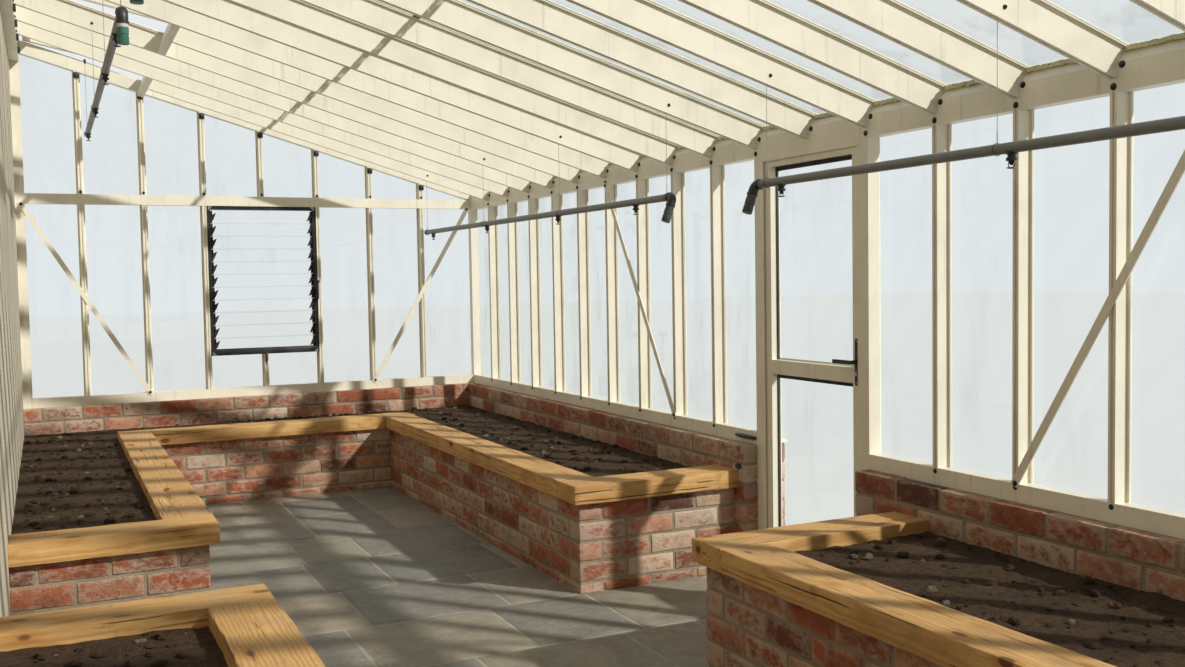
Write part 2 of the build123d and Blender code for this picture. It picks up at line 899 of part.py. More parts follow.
# Door hinges: the root half carries the pin, the moving half turns on it

axis_x = x_in + frame_d + hinge_stand
axis_y = leaf_far + hinge_off
hinge_planes = [Plane(origin=(axis_x, axis_y, z)) for z in hinge_heights]
barrel_h = 3 * knuckle_h + 2 * knuckle_gap

with BuildPart() as door_hinges_fixed:
    for base in hinge_planes:
        with BuildSketch(base):
            Circle(pin_r)
        extrude(amount=barrel_h)
        for start in (0, barrel_h - knuckle_h):
            with BuildSketch(base.offset(start)):
                Circle(knuckle_r)
                draw_box(
                    frame_out - frame_d - hinge_stand + seat,
                    0,
                    frame_out - frame_d - hinge_stand + seat + hinge_plate_t,
                    hinge_plate_w,
                )
            extrude(amount=knuckle_h)

with BuildPart() as door_hinges_moving:
    for base in hinge_planes:
        with BuildSketch(base.offset(knuckle_h + knuckle_gap)):
            Circle(knuckle_r)
            draw_box(-hinge_stand, -hinge_plate_w - hinge_off, hinge_plate_t - hinge_stand, 0)
            Circle(pin_r + pin_clearance, mode=Mode.SUBTRACT)
        extrude(amount=knuckle_h)

# Door handle on both faces of the closing stile

handle_y = leaf_near + stile_w / 2

with BuildPart() as door_handle:
    for face, sign in ((leaf_in, -1), (frame_d, 1)):
        with BuildSketch(front.offset(face)):
            with Locations((handle_y, handle_z)):
                RectangleRounded(handle_plate_w, handle_plate_h, handle_plate_w / 3)
        extrude(amount=sign * handle_plate_t)
        with BuildSketch(front.offset(face)):
            with Locations((handle_y, handle_z)):
                Circle(lever_r)
        extrude(amount=sign * lever_reach)
        with BuildSketch(front.offset(face + sign * lever_reach)):
            with Locations((handle_y - lever_r, handle_z - lever_r)):
                RectangleRounded(lever_len, 2 * lever_r, lever_r / 2, align=Align.MIN)
        extrude(amount=-sign * lever_r)

# Small black fittings beside the far door post

with BuildPart() as door_catch:
    with BuildSketch(front):
        draw_box(
            doorway_half + door_gap,
            sill_top - sill_h / 2 - catch_w / 2,
            doorway_half + door_gap + catch_len,
            sill_top - sill_h / 2 + catch_w / 2,
        )
    extrude(amount=-catch_t)
    with BuildSketch(Plane.YZ.offset(wall_face)):
        with Locations((doorway_half + hook_len, coping_top + hook_up)):
            Rectangle(hook_len, catch_w)
            Circle(catch_w)
    extrude(amount=-catch_t)

# Spray lines, nozzles and hangers

front_pipe_x = x_in - front_pipe_run
rear_pipe_x = rear_face + rear_pipe_out
pipe_lines = (
    (front_pipe_x, rake_z(front_pipe_x) - front_pipe_hang),
    (rear_pipe_x, rake_z(rear_pipe_x) - rear_pipe_hang),
)
pipe_spans = (
    (roof_y(pipe_far[1]), roof_y(pipe_far[0]), roof_y(pipe_far[1])),
    (roof_y(pipe_near[1]), roof_y(pipe_near[0]), roof_y(pipe_near[0])),
)


def along_y(x, y, z):
    """Give a plane that faces along the building at a point of a spray line."""
    return Plane(origin=(x, y, z), x_dir=(1, 0, 0), z_dir=(0, 1, 0))


with BuildPart() as irrigation_pipes:
    for x, z in pipe_lines:
        for start, end, elbow in pipe_spans:
            with BuildSketch(along_y(x, start, z)):
                Circle(pipe_r)
            extrude(amount=end - start)
            with BuildSketch(along_y(x, elbow - elbow_l / 2, z)):
                Circle(elbow_r)
            extrude(amount=elbow_l)
            drop = Plane(
                origin=(x, elbow, z),
                x_dir=(0, 1, 0),
                z_dir=(-sin(radians(drop_lean)), 0, -cos(radians(drop_lean))),
            )
            with BuildSketch(drop):
                Circle(pipe_r)
            extrude(amount=drop_len)
            with BuildSketch(drop.offset(drop_len - cap_len)):
                Circle(elbow_r)
            extrude(amount=cap_len)

with BuildPart() as spray_nozzles:
    for x, z in pipe_lines:
        for spot in nozzle_bays:
            with BuildSketch(Plane.XY.offset(z - pipe_r - nozzle_h)):
                with Locations((x, roof_y(spot))):
                    RegularPolygon(nozzle_r, few_sides)
            extrude(amount=nozzle_h)
            with BuildSketch(Plane.XY.offset(z - pipe_r - nozzle_h)):
                with Locations((x, roof_y(spot))):
                    RegularPolygon(spray_r, many_sides)
            extrude(amount=-spray_t)

with BuildPart() as pipe_hangers:
    for x, z in pipe_lines:
        wire_top = rake_z(x) - rafter_drop / cos(roof_pitch) + stem_w
        for i in hanger_bars:
            y = roof_y(i) + stem_w / 2 + hanger_r + seat
            with BuildSketch(Plane.XY.offset(z + pipe_r + seat)):
                with Locations((x, y)):
                    RegularPolygon(hanger_r, few_sides)
            extrude(amount=wire_top - z - pipe_r - seat)
            with BuildSketch(along_y(x, y - strap_w / 2, z)):
                RegularPolygon(pipe_r + strap_t + seat, many_sides, major_radius=False)
                RegularPolygon(pipe_r + seat, many_sides, major_radius=False, mode=Mode.SUBTRACT)
            extrude(amount=strap_w)

pieces = {
    "floor_slab": floor_slab,
    "rear_wall": rear_wall,
    "gable_walls": gable_walls,
    "front_walls": front_walls,
    "side_bed_walls": side_bed_walls,
    "end_bed_walls": end_bed_walls,
    "bed_copings": bed_copings,
    "side_bed_soil": side_bed_soil,
    "end_bed_soil": end_bed_soil,
    "front_sills": front_sills,
    "gable_sills": gable_sills,
    "corner_posts": corner_posts,
    "front_mullions": front_mullions,
    "gable_mullions": gable_mullions,
    "gable_transoms": gable_transoms,
    "eave_beam": eave_beam,
    "eave_seal": eave_seal,
    "eave_gutter": eave_gutter,
    "rafters": rafters,
    "gable_rafters": gable_rafters,
    "wall_plate": wall_plate,
    "vent_trimmers": vent_trimmers,
    "vent_sashes": vent_sashes,
    "vent_glass": vent_glass,
    "vent_stays": vent_stays,
    "front_glass": front_glass,
    "gable_glass": gable_glass,
    "roof_glass_lower": roof_glass_lower,
    "roof_glass_upper": roof_glass_upper,
    "pane_joints": pane_joints,
    "ridge_flashing": ridge_flashing,
    "wall_braces": wall_braces,
    "louvre_frames": louvre_frames,
    "louvre_blades": louvre_blades,
    "door_frame": door_frame,
    "door_leaf": door_leaf,
    "door_glass": door_glass,
    "door_gasket": door_gasket,
    "door_hinges_fixed": door_hinges_fixed,
    "door_hinges_moving": door_hinges_moving,
    "door_handle": door_handle,
    "door_catch": door_catch,
    "irrigation_pipes": irrigation_pipes,
    "spray_nozzles": spray_nozzles,
    "pipe_hangers": pipe_hangers,
}

os.makedirs("parts", exist_ok=True)
for name, piece in pieces.items():
    piece.part.label = name
    export_step(piece.part, f"parts/{name}.step")
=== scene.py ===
"""Dresses the lean-to glass greenhouse: bricks, flags, timbers, fittings, finishes and the stage."""

import json
import math
import random
from functools import partial

import bpy
from bpy.props import FloatProperty, FloatVectorProperty, IntProperty, PointerProperty
from mathutils import Matrix, Vector, noise


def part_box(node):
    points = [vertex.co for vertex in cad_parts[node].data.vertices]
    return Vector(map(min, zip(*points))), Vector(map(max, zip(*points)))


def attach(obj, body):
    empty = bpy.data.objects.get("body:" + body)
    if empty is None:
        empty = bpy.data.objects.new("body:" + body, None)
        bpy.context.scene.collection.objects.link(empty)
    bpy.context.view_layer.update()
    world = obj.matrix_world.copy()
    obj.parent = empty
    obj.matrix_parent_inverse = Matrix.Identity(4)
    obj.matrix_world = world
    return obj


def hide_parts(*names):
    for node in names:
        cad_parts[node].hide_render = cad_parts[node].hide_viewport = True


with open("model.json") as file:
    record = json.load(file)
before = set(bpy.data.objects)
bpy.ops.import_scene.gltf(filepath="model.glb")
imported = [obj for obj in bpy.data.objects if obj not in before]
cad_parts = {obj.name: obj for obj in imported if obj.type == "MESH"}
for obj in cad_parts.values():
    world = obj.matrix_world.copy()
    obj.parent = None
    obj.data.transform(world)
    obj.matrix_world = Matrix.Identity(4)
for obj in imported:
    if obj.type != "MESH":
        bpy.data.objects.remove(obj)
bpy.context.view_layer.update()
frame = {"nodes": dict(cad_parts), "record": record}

bl_info = {
    "name": "Lean-to glass greenhouse",
    "version": (1, 0, 0),
    "blender": (4, 5, 0),
    "location": "View3D > Sidebar > Greenhouse",
    "description": "Bricks, flags, timbers, fittings and finishes for the greenhouse frame",
    "category": "Add Mesh",
}

STILL = "greenhouse"
SWINGS = "door"
UP = Vector((0, 0, 1))
EAST = Vector((1, 0, 0))
NORTH = Vector((0, 1, 0))


def tint(red, green, blue):
    """Turn a screen colour, 0 to 255, into the plain light values that shaders use."""
    return tuple((part / 255) ** 2.2 for part in (red, green, blue))


def times(colour, *factors):
    """Change a colour by one factor, or by one for each of its parts."""
    return tuple(min(1.0, part * factor) for part, factor in zip(colour, factors * 3))


def opaque(colour):
    """Add full cover to a colour."""
    return (*colour[:3], 1.0)


def at(*spot):
    """Give a place or a direction."""
    return Vector(spot)


# Settings


def size_prop(name, about, default):
    """Make a length that a user can change."""
    return FloatProperty(name=name, description=about, default=default, unit="LENGTH", precision=4)


def angle_prop(name, about, degrees):
    """Make an angle that a user can change."""
    return FloatProperty(name=name, description=about, default=math.radians(degrees), subtype="ANGLE")


def colour_prop(name, about, *screen):
    """Make a colour that a user can change."""
    return FloatVectorProperty(
        name=name, description=about, default=tint(*screen), subtype="COLOR", size=3, min=0.0, max=1.0
    )


class StageSettings(bpy.types.PropertyGroup):
    """Camera, lamps and floor."""

    lens: FloatProperty(name="Lens", description="Focal length of the camera", default=34.258, unit="CAMERA")
    turn: angle_prop("Turn", "Camera heading, from +Y to +X", 25.874)
    nod: angle_prop("Nod", "Camera tilt below level", 2.783)
    roll: angle_prop("Roll", "Camera roll", 0.963)
    place: FloatVectorProperty(
        name="Place",
        description="Where the camera stands",
        default=(-1.3581, -3.9136, 1.4229),
        subtype="TRANSLATION",
    )
    sun: FloatProperty(name="Key lamp", description="Strength of the main lamp", default=3.9, min=0.0)
    sky: FloatProperty(name="Fill", description="Strength of the even light", default=0.34, min=0.0)
    ground: colour_prop("Floor colour", "Colour of the floor and backdrop", 226, 229, 231)


class BrickSettings(bpy.types.PropertyGroup):
    """Sizes and colours of the brickwork."""

    length: size_prop("Length", "Length of a brick", 0.2265)
    header: size_prop("Width", "Width of a brick, seen as a header", 0.102)
    course: size_prop("Course", "Height of one course with its joint", 0.090)
    joint: size_prop("Joint", "Width of a mortar joint", 0.0115)
    proud: size_prop("Proud", "How far the bricks stand out of the mortar", 0.004)
    edge: size_prop("Worn edge", "Radius of the worn edges", 0.006)
    red: colour_prop("Red", "Main brick colour", 162, 93, 68)
    pink: colour_prop("Pink", "Paler bricks", 198, 142, 112)
    dark: colour_prop("Dark", "Burnt bricks", 86, 60, 52)
    lime: colour_prop("Lime", "Old lime left on the faces", 214, 200, 178)
    mortar: colour_prop("Mortar", "Colour of the joints", 162, 146, 124)


class GroundSettings(bpy.types.PropertyGroup):
    """Flags and soil."""

    row: size_prop("Row", "Depth of one row of flags", 0.560)
    joint: size_prop("Joint", "Width between flags", 0.013)
    rise: size_prop("Rise", "How far the flags stand above their bed", 0.0016)
    slate: colour_prop("Slate", "Main flag colour", 143, 137, 124)
    grout: colour_prop("Grout", "Colour between the flags", 178, 172, 156)
    soil: colour_prop("Soil", "Colour of the earth", 96, 74, 54)
    relief: size_prop("Relief", "Unevenness of the soil", 0.016)
    clods: IntProperty(name="Clods", description="Loose clods on each bed", default=420, min=0)


class TimberSettings(bpy.types.PropertyGroup):
    """Copings on the raised beds."""

    edge: size_prop("Edge", "Radius of the sawn edges", 0.0035)
    crack: size_prop("Crack", "Depth of the drying cracks", 0.009)
    light: colour_prop("Light wood", "Wood between the rings", 222, 178, 116)
    dark: colour_prop("Dark wood", "Wood of the rings", 190, 138, 78)


class FrameSettings(bpy.types.PropertyGroup):
    """Paint, glass and fittings."""

    cream: colour_prop("Cream", "Frame paint", 242, 235, 216)
    dirt: colour_prop("Dirt", "Grime on the paint and glass", 126, 116, 88)
    black: colour_prop("Black", "Black paint and plastic", 30, 30, 31)
    pipe: colour_prop("Pipe", "Spray pipes", 118, 119, 116)
    cap: colour_prop("Cap", "Green pipe end", 54, 104, 88)
    glass: colour_prop("Glass", "Body colour of the glass", 196, 212, 208)
    bolt: size_prop("Bolt", "Radius of a bolt head", 0.0084)
    wire: size_prop("Wire", "Radius of a hanging wire", 0.0011)


# Finishes


class Signal:
    """A shader socket that takes part in Python sums."""

    def __init__(self, graph, socket):
        self.graph = graph
        self.socket = socket

    def other(self, name):
        """Give another output of the same node."""
        return Signal(self.graph, self.socket.node.outputs[name])

    def maths(self, operation, first, second):
        """Add one Math node for two values."""
        return self.graph.node("Math", {"operation": operation}, {0: first, 1: second})

    def between(self, low, high):
        """Rise smoothly from 0 to 1 between two levels."""
        sockets = {"Value": self, "From Min": low, "From Max": high}
        return self.graph.node("MapRange", {"interpolation_type": "SMOOTHSTEP"}, sockets)

    def __add__(self, other):
        return self.maths("ADD", self, other)

    def __radd__(self, other):
        return self.maths("ADD", other, self)

    def __sub__(self, other):
        return self.maths("SUBTRACT", self, other)

    def __rsub__(self, other):
        return self.maths("SUBTRACT", other, self)

    def __mul__(self, other):
        return self.maths("MULTIPLY", self, other)

    def __rmul__(self, other):
        return self.maths("MULTIPLY", other, self)

    def __pow__(self, other):
        return self.maths("POWER", self, other)

    def __mod__(self, other):
        return self.maths("MODULO", self, other)


class Graph:
    """A node tree and the one way to add to it."""

    def __init__(self, tree):
        self.tree = tree

    def join(self, value, socket):
        """Link a signal to a socket, or set a plain value on it."""
        if isinstance(value, Signal):
            self.tree.links.new(value.socket, socket)
        else:
            socket.default_value = value

    def node(self, kind, settings=None, sockets=None, out=0):
        """Make a node: its settings first, then the values or links of its sockets."""
        made = self.tree.nodes.new("ShaderNode" + kind)
        for key, value in (settings or {}).items():
            if key == "stops":
                for spot, _ in value[2:]:
                    made.color_ramp.elements.new(spot)
                for element, (spot, colour) in zip(made.color_ramp.elements, value):
                    element.position = spot
                    element.color = opaque(colour)
            else:
                setattr(made, key, value)
        for key, value in (sockets or {}).items():
            self.join(value, made.inputs[key])
        return Signal(self, made.outputs[out])


class Finish(Graph):
    """One material: a principled shader and short ways to feed it."""

    def __init__(self, name, **plain):
        self.material = bpy.data.materials.new(name)
        self.material.use_nodes = True
        super().__init__(self.material.node_tree)
        self.shader = self.tree.nodes["Principled BSDF"]
        self.place = self.node("TexCoord", out="Object")
        self.feed(**plain)

    def feed(self, **sockets):
        """Set sockets of the shader; an underscore stands for a space."""
        for key, value in sockets.items():
            self.join(value, self.shader.inputs[key.replace("_", " ")])

    def stretch(self, x, y, z, place=None):
        """Scale a place along each axis."""
        return self.node("VectorMath", {"operation": "MULTIPLY"}, {0: place or self.place, 1: (x, y, z)})

    def noise(self, scale, detail=3.0, rough=0.55, place=None, warp=0.0):
        """Give even noise, 0 to 1."""
        sockets = {"Scale": scale, "Detail": detail, "Roughness": rough, "Distortion": warp}
        return self.node("TexNoise", {}, {"Vector": place or self.place, **sockets})

    def cells(self, scale, place=None):
        """Give the distance to the nearest of many scattered points."""
        return self.node("TexVoronoi", {}, {"Vector": place or self.place, "Scale": scale})

    def stored(self, name, out="Fac"):
        """Read a value that is kept on the mesh."""
        return self.node("Attribute", {"attribute_name": name}, out=out)

    def facing_up(self):
        """Give 1 where the surface looks up, 0 elsewhere."""
        normal = self.node("NewGeometry", out="Normal")
        return self.node("SeparateXYZ", {}, {0: normal}, "Z").between(0.5, 0.95)

    def coat(self, amount, colour, base=None):
        """Lay a colour by an amount, 0 to 1, over a base or else over the coats so far."""
        base = self.shade if base is None else base
        base, colour = (c if isinstance(c, Signal) else opaque(c) for c in (base, colour))
        self.shade = self.node("Mix", {"data_type": "RGBA"}, {0: amount, 6: base, 7: colour}, 2)
        self.feed(Base_Color=self.shade)

    def relief(self, height, depth):
        """Feed a bump of a depth in metres, and give the finished material."""
        self.feed(Normal=self.node("Bump", {}, {"Height": height, "Distance": depth, "Strength": 1.0}))
        return self.material


finishes = {}


def finish_paint(name, colour, dirt):
    """Satin powder coat with faint runs, specks and grime."""
    paint = Finish(name, IOR=1.45)
    cloud = paint.noise(5.0, 4.0)
    runs = paint.noise(1.0, 5.0, 0.6, paint.stretch(46.0, 46.0, 2.2))
    specks = paint.noise(260.0, 2.0).between(0.66, 0.74)
    grime = runs.between(0.56, 0.78) * 0.30 + specks * 0.45
    paint.coat(cloud.between(0.35, 0.75), times(colour, 0.90), colour)
    paint.coat(grime, dirt)
    paint.feed(Roughness=grime * 0.4 + cloud * 0.16 + 0.28)
    return paint.relief(paint.noise(420.0, 2.0) + specks * 0.6, 0.00025)


def finish_glass(name, colour, dirt, haze, edges=0.0):
    """Clear glass: a mirror that grows at low angles, a dusty film and, else, a view through it."""
    pane = Finish(name, IOR=1.5)
    film = pane.noise(1.0, 3.0, 0.6, pane.stretch(7.0, 7.0, 1.6)).between(0.48, 0.86)
    facing = pane.node("LayerWeight", {}, {"Blend": 0.5}, "Facing")
    cover = facing**5.0 * 0.86 + film * haze + 0.036
    shine = 1.0 - film * 0.9
    pane.coat(film, tuple(c * 0.6 + d * 0.4 for c, d in zip(colour, dirt)), colour)
    if edges:
        ground = pane.facing_up() * edges
        cover, shine = cover + ground, shine - ground
        pane.coat(ground, tint(96, 132, 116))
    pane.feed(Metallic=shine, Roughness=film * 0.5 + 0.02)
    clear = pane.node("BsdfTransparent", {}, {0: (0.984, 0.996, 0.990, 1.0)})
    blend = pane.node("MixShader", {}, {0: cover, 1: clear, 2: Signal(pane, pane.shader.outputs[0])})
    pane.join(blend, pane.tree.nodes["Material Output"].inputs["Surface"])
    return pane.material


def finish_brick(name, look):
    """Reclaimed brick: each one of its own colour, smeared with old lime that gathers at its edges."""
    brick = Finish(name, IOR=1.4)
    tone = brick.stored("tone")
    stops = (
        (0.0, look.dark),
        (0.08, times(look.red, 0.74)),
        (0.30, look.red),
        (0.48, times(look.red, 1.22, 1.30, 1.16)),
        (0.66, times(look.red, 1.05, 0.86, 0.80)),
        (0.84, look.pink),
        (1.0, tuple((p + m) / 2 for p, m in zip(look.pink, look.lime))),
    )
    rim = brick.node("SeparateXYZ", {}, {0: brick.stored("grain", "Vector")}, "X").between(0.020, 0.001)
    smear = brick.noise(1.0, 8.0, 0.74, brick.stretch(24.0, 24.0, 38.0), 0.25)
    share = (tone * 7.3) % 1.0
    lime = (smear + share * 0.16 + rim * 0.12).between(0.51, 0.74) * (share * 0.46 + 0.24)
    pits = brick.noise(190.0, 4.0, 0.65).between(0.58, 0.70)
    burn = brick.noise(19.0, 6.0, 0.66).between(0.44, 0.68)
    brick.coat(burn * 0.60, times(look.red, 0.48), brick.node("ValToRGB", {"stops": stops}, {0: tone}))
    brick.coat(lime, look.lime)
    brick.coat(brick.noise(2.6, 4.0, 0.6).between(0.46, 0.70) * 0.30, tint(96, 78, 60))
    brick.coat(pits * 0.45, look.dark)
    brick.feed(Roughness=lime * 0.1 + 0.84)
    return brick.relief(brick.noise(75.0, 7.0, 0.74) * 1.8 + lime * 0.6 - pits * 0.9, 0.0030)


def finish_mortar(name, colour, grain):
    """Sandy mortar or grout with small stones and stains."""
    mortar = Finish(name, IOR=1.4, Roughness=0.93)
    sand = mortar.noise(grain, 3.0, 0.7)
    mortar.coat(mortar.noise(6.0, 6.0, 0.65).between(0.38, 0.70) * 0.55, times(colour, 0.55), colour)
    mortar.coat(sand.between(0.5, 0.72) * 0.40, times(colour, 0.5))
    return mortar.relief(sand + mortar.noise(42.0, 5.0, 0.65) * 2.2, 0.0028)


def finish_render(name, colour, dirt):
    """Painted wall render with a float texture, rain stains and a damp foot."""
    wall = Finish(name, IOR=1.4, Roughness=0.88)
    height = wall.node("SeparateXYZ", {}, {0: wall.place}, "Z")
    runs = wall.noise(1.0, 6.0, 0.62, wall.stretch(7.0, 7.0, 0.7))
    cloud = wall.noise(1.3, 5.0, 0.6)
    foot = (height + cloud * 0.5).between(0.85, 0.30)
    wall.coat(cloud.between(0.35, 0.70), times(colour, 0.86), colour)
    wall.coat(runs.between(0.52, 0.80) * 0.40 + foot * 0.38, dirt)
    return wall.relief(wall.noise(150.0, 5.0, 0.7) + wall.noise(9.0, 3.0) * 2.0, 0.0022)


def finish_slate(name, colour):
    """Riven slate: grey flags, some browner, with a dusty, cleft surface."""
    flag = Finish(name, IOR=1.5)
    stops = (
        (0.0, times(colour, 0.70, 0.74, 0.80)),
        (0.45, colour),
        (0.75, times(colour, 1.14, 1.10, 1.04)),
        (1.0, times(colour, 1.14, 1.05, 0.92)),
    )
    body = flag.node("ValToRGB", {"stops": stops}, {0: flag.stored("tone")})
    dust = flag.noise(34.0, 6.0, 0.74)
    cleft = flag.noise(5.0, 8.0, 0.70, flag.stretch(1.0, 2.2, 1.0), 1.2)
    flag.coat(flag.noise(3.2, 7.0, 0.68, warp=0.8).between(0.40, 0.70) * 0.60, times(colour, 0.52), body)
    flag.coat(dust.between(0.48, 0.74) * 0.50, times(colour, 1.75, 1.68, 1.55))
    flag.coat(flag.noise(1.7, 5.0, 0.7, warp=1.0).between(0.56, 0.72) * 0.35, tint(170, 160, 140))
    flag.feed(Roughness=dust * 0.35 + 0.48)
    return flag.relief(cleft * 3.0 + dust * 0.5, 0.0034)


def finish_timber(name, look):
    """Sawn softwood with rings, streaks, knots, weather stains and drying cracks."""
    wood = Finish(name, IOR=1.45)
    grain = wood.stored("grain", "Vector")
    rings = wood.node(
        "TexWave",
        {"wave_type": "RINGS", "rings_direction": "X"},
        {"Vector": wood.stretch(0.25, 1.0, 1.0, grain), "Scale": 26.0, "Distortion": 6.0, "Detail": 3.0},
    )
    streak = wood.noise(1.0, 5.0, 0.6, wood.stretch(3.0, 90.0, 90.0, grain))
    knots = wood.cells(8.0, wood.stretch(0.6, 1.2, 1.2, grain))
    heart = knots.between(0.150, 0.105)
    cracks = wood.noise(1.0, 4.0, 0.6, wood.stretch(1.6, 75.0, 75.0, grain)).between(0.635, 0.675)
    worn = wood.facing_up() * wood.noise(5.0, 6.0, 0.68, grain).between(0.42, 0.66)
    wood.coat(rings * 0.60 + streak * 0.35, look.dark, look.light)
    wood.coat(wood.noise(2.2, 5.0, 0.62, grain).between(0.40, 0.70) * 0.50, times(look.dark, 0.56))
    wood.coat(knots.between(0.36, 0.13) * 0.50, times(look.dark, 0.74, 0.58, 0.42))
    wood.coat(heart * 0.90, times(look.dark, 0.26, 0.17, 0.12))
    wood.coat(worn * 0.40, tint(176, 152, 118))
    wood.coat(wood.noise(11.0, 6.0, 0.7, grain).between(0.58, 0.72) * 0.45, tint(112, 84, 54))
    wood.coat(cracks * 0.85, tint(58, 38, 22))
    wood.feed(Roughness=streak * 0.2 + 0.62)
    return wood.relief(streak * 0.7 + rings * 0.3 - cracks * 2.6 + heart * 0.5, 0.0022)


def finish_soil(name, colour):
    """Crumbly dark earth with paler stones, and painted shade in the hollows between the lumps."""
    soil = Finish(name, IOR=1.35, Roughness=0.95)
    crumbs = soil.noise(95.0, 7.0, 0.78)
    lumps = soil.noise(38.0, 6.0, 0.70)
    soil.coat(soil.noise(5.0, 5.0, 0.65).between(0.38, 0.66) * 0.8, times(colour, 0.45), colour)
    soil.coat(crumbs.between(0.52, 0.68) * 0.65, times(colour, 2.5, 2.5, 2.4))
    soil.coat(soil.stored("tone").between(0.80, 0.95) * 0.75, tint(168, 152, 132))
    # Darker where the lump noise is low, which is where the bump dips: painted shade in the hollows.
    soil.coat(lumps.between(0.52, 0.40) * 0.55, times(colour, 0.30))
    return soil.relief(crumbs * 2.0 + lumps * 3.0 + soil.noise(240.0, 3.0) * 0.6, 0.011)


def finish_foam(name, colour):
    """Weathered foam strip with dark specks of mould."""
    foam = Finish(name, IOR=1.35, Roughness=0.95)
    foam.coat(foam.noise(14.0, 3.0).between(0.4, 0.7) * 0.5, times(colour, 0.7), colour)
    foam.coat(foam.noise(75.0, 5.0, 0.72).between(0.55, 0.66) * 0.85, tint(58, 54, 34))
    return foam.relief(foam.cells(150.0) + foam.noise(60.0, 5.0, 0.7) * 1.4, 0.004)


def finish_joint(name, colour):
    """Overlap of two panes: clear in places, with dirt caught in it elsewhere."""
    strip = Finish(name, IOR=1.45, Roughness=0.8)
    clump = strip.noise(24.0, 4.0, 0.62)
    strip.coat(strip.noise(90.0, 5.0, 0.7).between(0.42, 0.62), times(colour, 0.35), colour)
    strip.feed(Alpha=clump.between(0.42, 0.54) * 0.72 + 0.22)
    return strip.relief(clump + strip.noise(150.0, 4.0, 0.7), 0.002)


def finish_plain(name, colour, rough, dust, metal=0.0):
    """Plastic, rubber or metal with dust, scuffs and a faint grain."""
    stuff = Finish(name, Metallic=metal, IOR=1.48)
    cloud = stuff.noise(9.0, 5.0, 0.62)
    scuff = stuff.noise(1.0, 4.0, 0.6, stuff.stretch(40.0, 12.0, 90.0))
    marks = cloud.between(0.42, 0.74) * dust + scuff.between(0.62, 0.76) * dust
    stuff.coat(marks, tuple(c * 0.5 + 0.24 for c in colour), colour)
    stuff.feed(Roughness=marks * 0.4 + rough)
    return stuff.relief(stuff.noise(120.0, 3.0), 0.0003)


def finish_stage(name, colour):
    """Plain pale studio floor."""
    floor = Finish(name, IOR=1.3, Roughness=0.9)
    floor.coat(floor.noise(0.4, 2.0), times(colour, 0.98), colour)
    return floor.material


def light_world(world, sky):
    """Light the scene evenly, and show a pale backdrop wherever it is seen."""
    world.use_nodes = True
    graph = Graph(world.node_tree)
    path = graph.node("LightPath")
    seen = path.maths("MAXIMUM", path.other("Is Camera Ray"), path.other("Is Glossy Ray"))
    seen = path.maths("MAXIMUM", seen, path.other("Is Transmission Ray"))
    light = graph.node("Background", {}, {"Color": (0.96, 0.98, 1.0, 1.0), "Strength": sky})
    shown = graph.node("Background", {}, {"Color": opaque(tint(232, 236, 240))})
    blend = graph.node("MixShader", {}, {0: seen, 1: light, 2: shown})
    graph.join(blend, world.node_tree.nodes["World Output"].inputs["Surface"])


def mix_finishes(paint, ground, bricks, timber):
    """Make every finish once, from the settings."""
    finishes.update(
        frame_paint=finish_paint("cream_paint", paint.cream, paint.dirt),
        clear_glass=finish_glass("clear_glass", paint.glass, paint.dirt, 0.06),
        blade_glass=finish_glass("louvre_glass", paint.glass, paint.dirt, 0.05, 0.75),
        roof_glass=finish_glass("roof_glass", paint.glass, paint.dirt, 0.10),
        brick=finish_brick("reclaimed_brick", bricks),
        mortar=finish_mortar("mortar", bricks.mortar, 240.0),
        grout=finish_mortar("grout", ground.grout, 300.0),
        render=finish_render("wall_render", tint(214, 204, 182), paint.dirt),
        slate=finish_slate("riven_slate", ground.slate),
        timber=finish_timber("sawn_timber", timber),
        soil=finish_soil("garden_soil", ground.soil),
        seal_foam=finish_foam("foam_strip", tint(238, 228, 184)),
        joint_strip=finish_joint("joint_strip", tint(126, 116, 96)),
        flashing=finish_plain("sheet_flashing", tint(146, 149, 151), 0.45, 0.4, 0.6),
        gasket=finish_plain("black_gasket", tint(28, 28, 28), 0.6, 0.12),
        black_paint=finish_plain("black_paint", paint.black, 0.38, 0.10),
        black_plastic=finish_plain("black_plastic", paint.black, 0.42, 0.12),
        grey_pipe=finish_plain("grey_pipe", paint.pipe, 0.44, 0.22),
        green_cap=finish_plain("green_cap", paint.cap, 0.40, 0.15),
        dark_cap=finish_plain("dark_cap", tint(60, 68, 66), 0.45, 0.2),
        pale_plastic=finish_plain("pale_plastic", tint(192, 196, 184), 0.45, 0.2),
        steel=finish_plain("steel", tint(166, 166, 164), 0.34, 0.15, 0.9),
    )


# Shapes


def show(name, data):
    """Put an object into the scene."""
    made = bpy.data.objects.new(name, data)
    bpy.context.scene.collection.objects.link(made)
    return made


def circle(centre, side, other, radius, sides, ribs=0.0):
    """Give the points of a circle, with every second one drawn in by a share of the radius."""
    points = []
    for k in range(sides):
        angle = math.tau * k / sides
        way = side * math.cos(angle) + other * math.sin(angle)
        points.append(centre + way * (radius * (1 - ribs * (k % 2))))
    return points


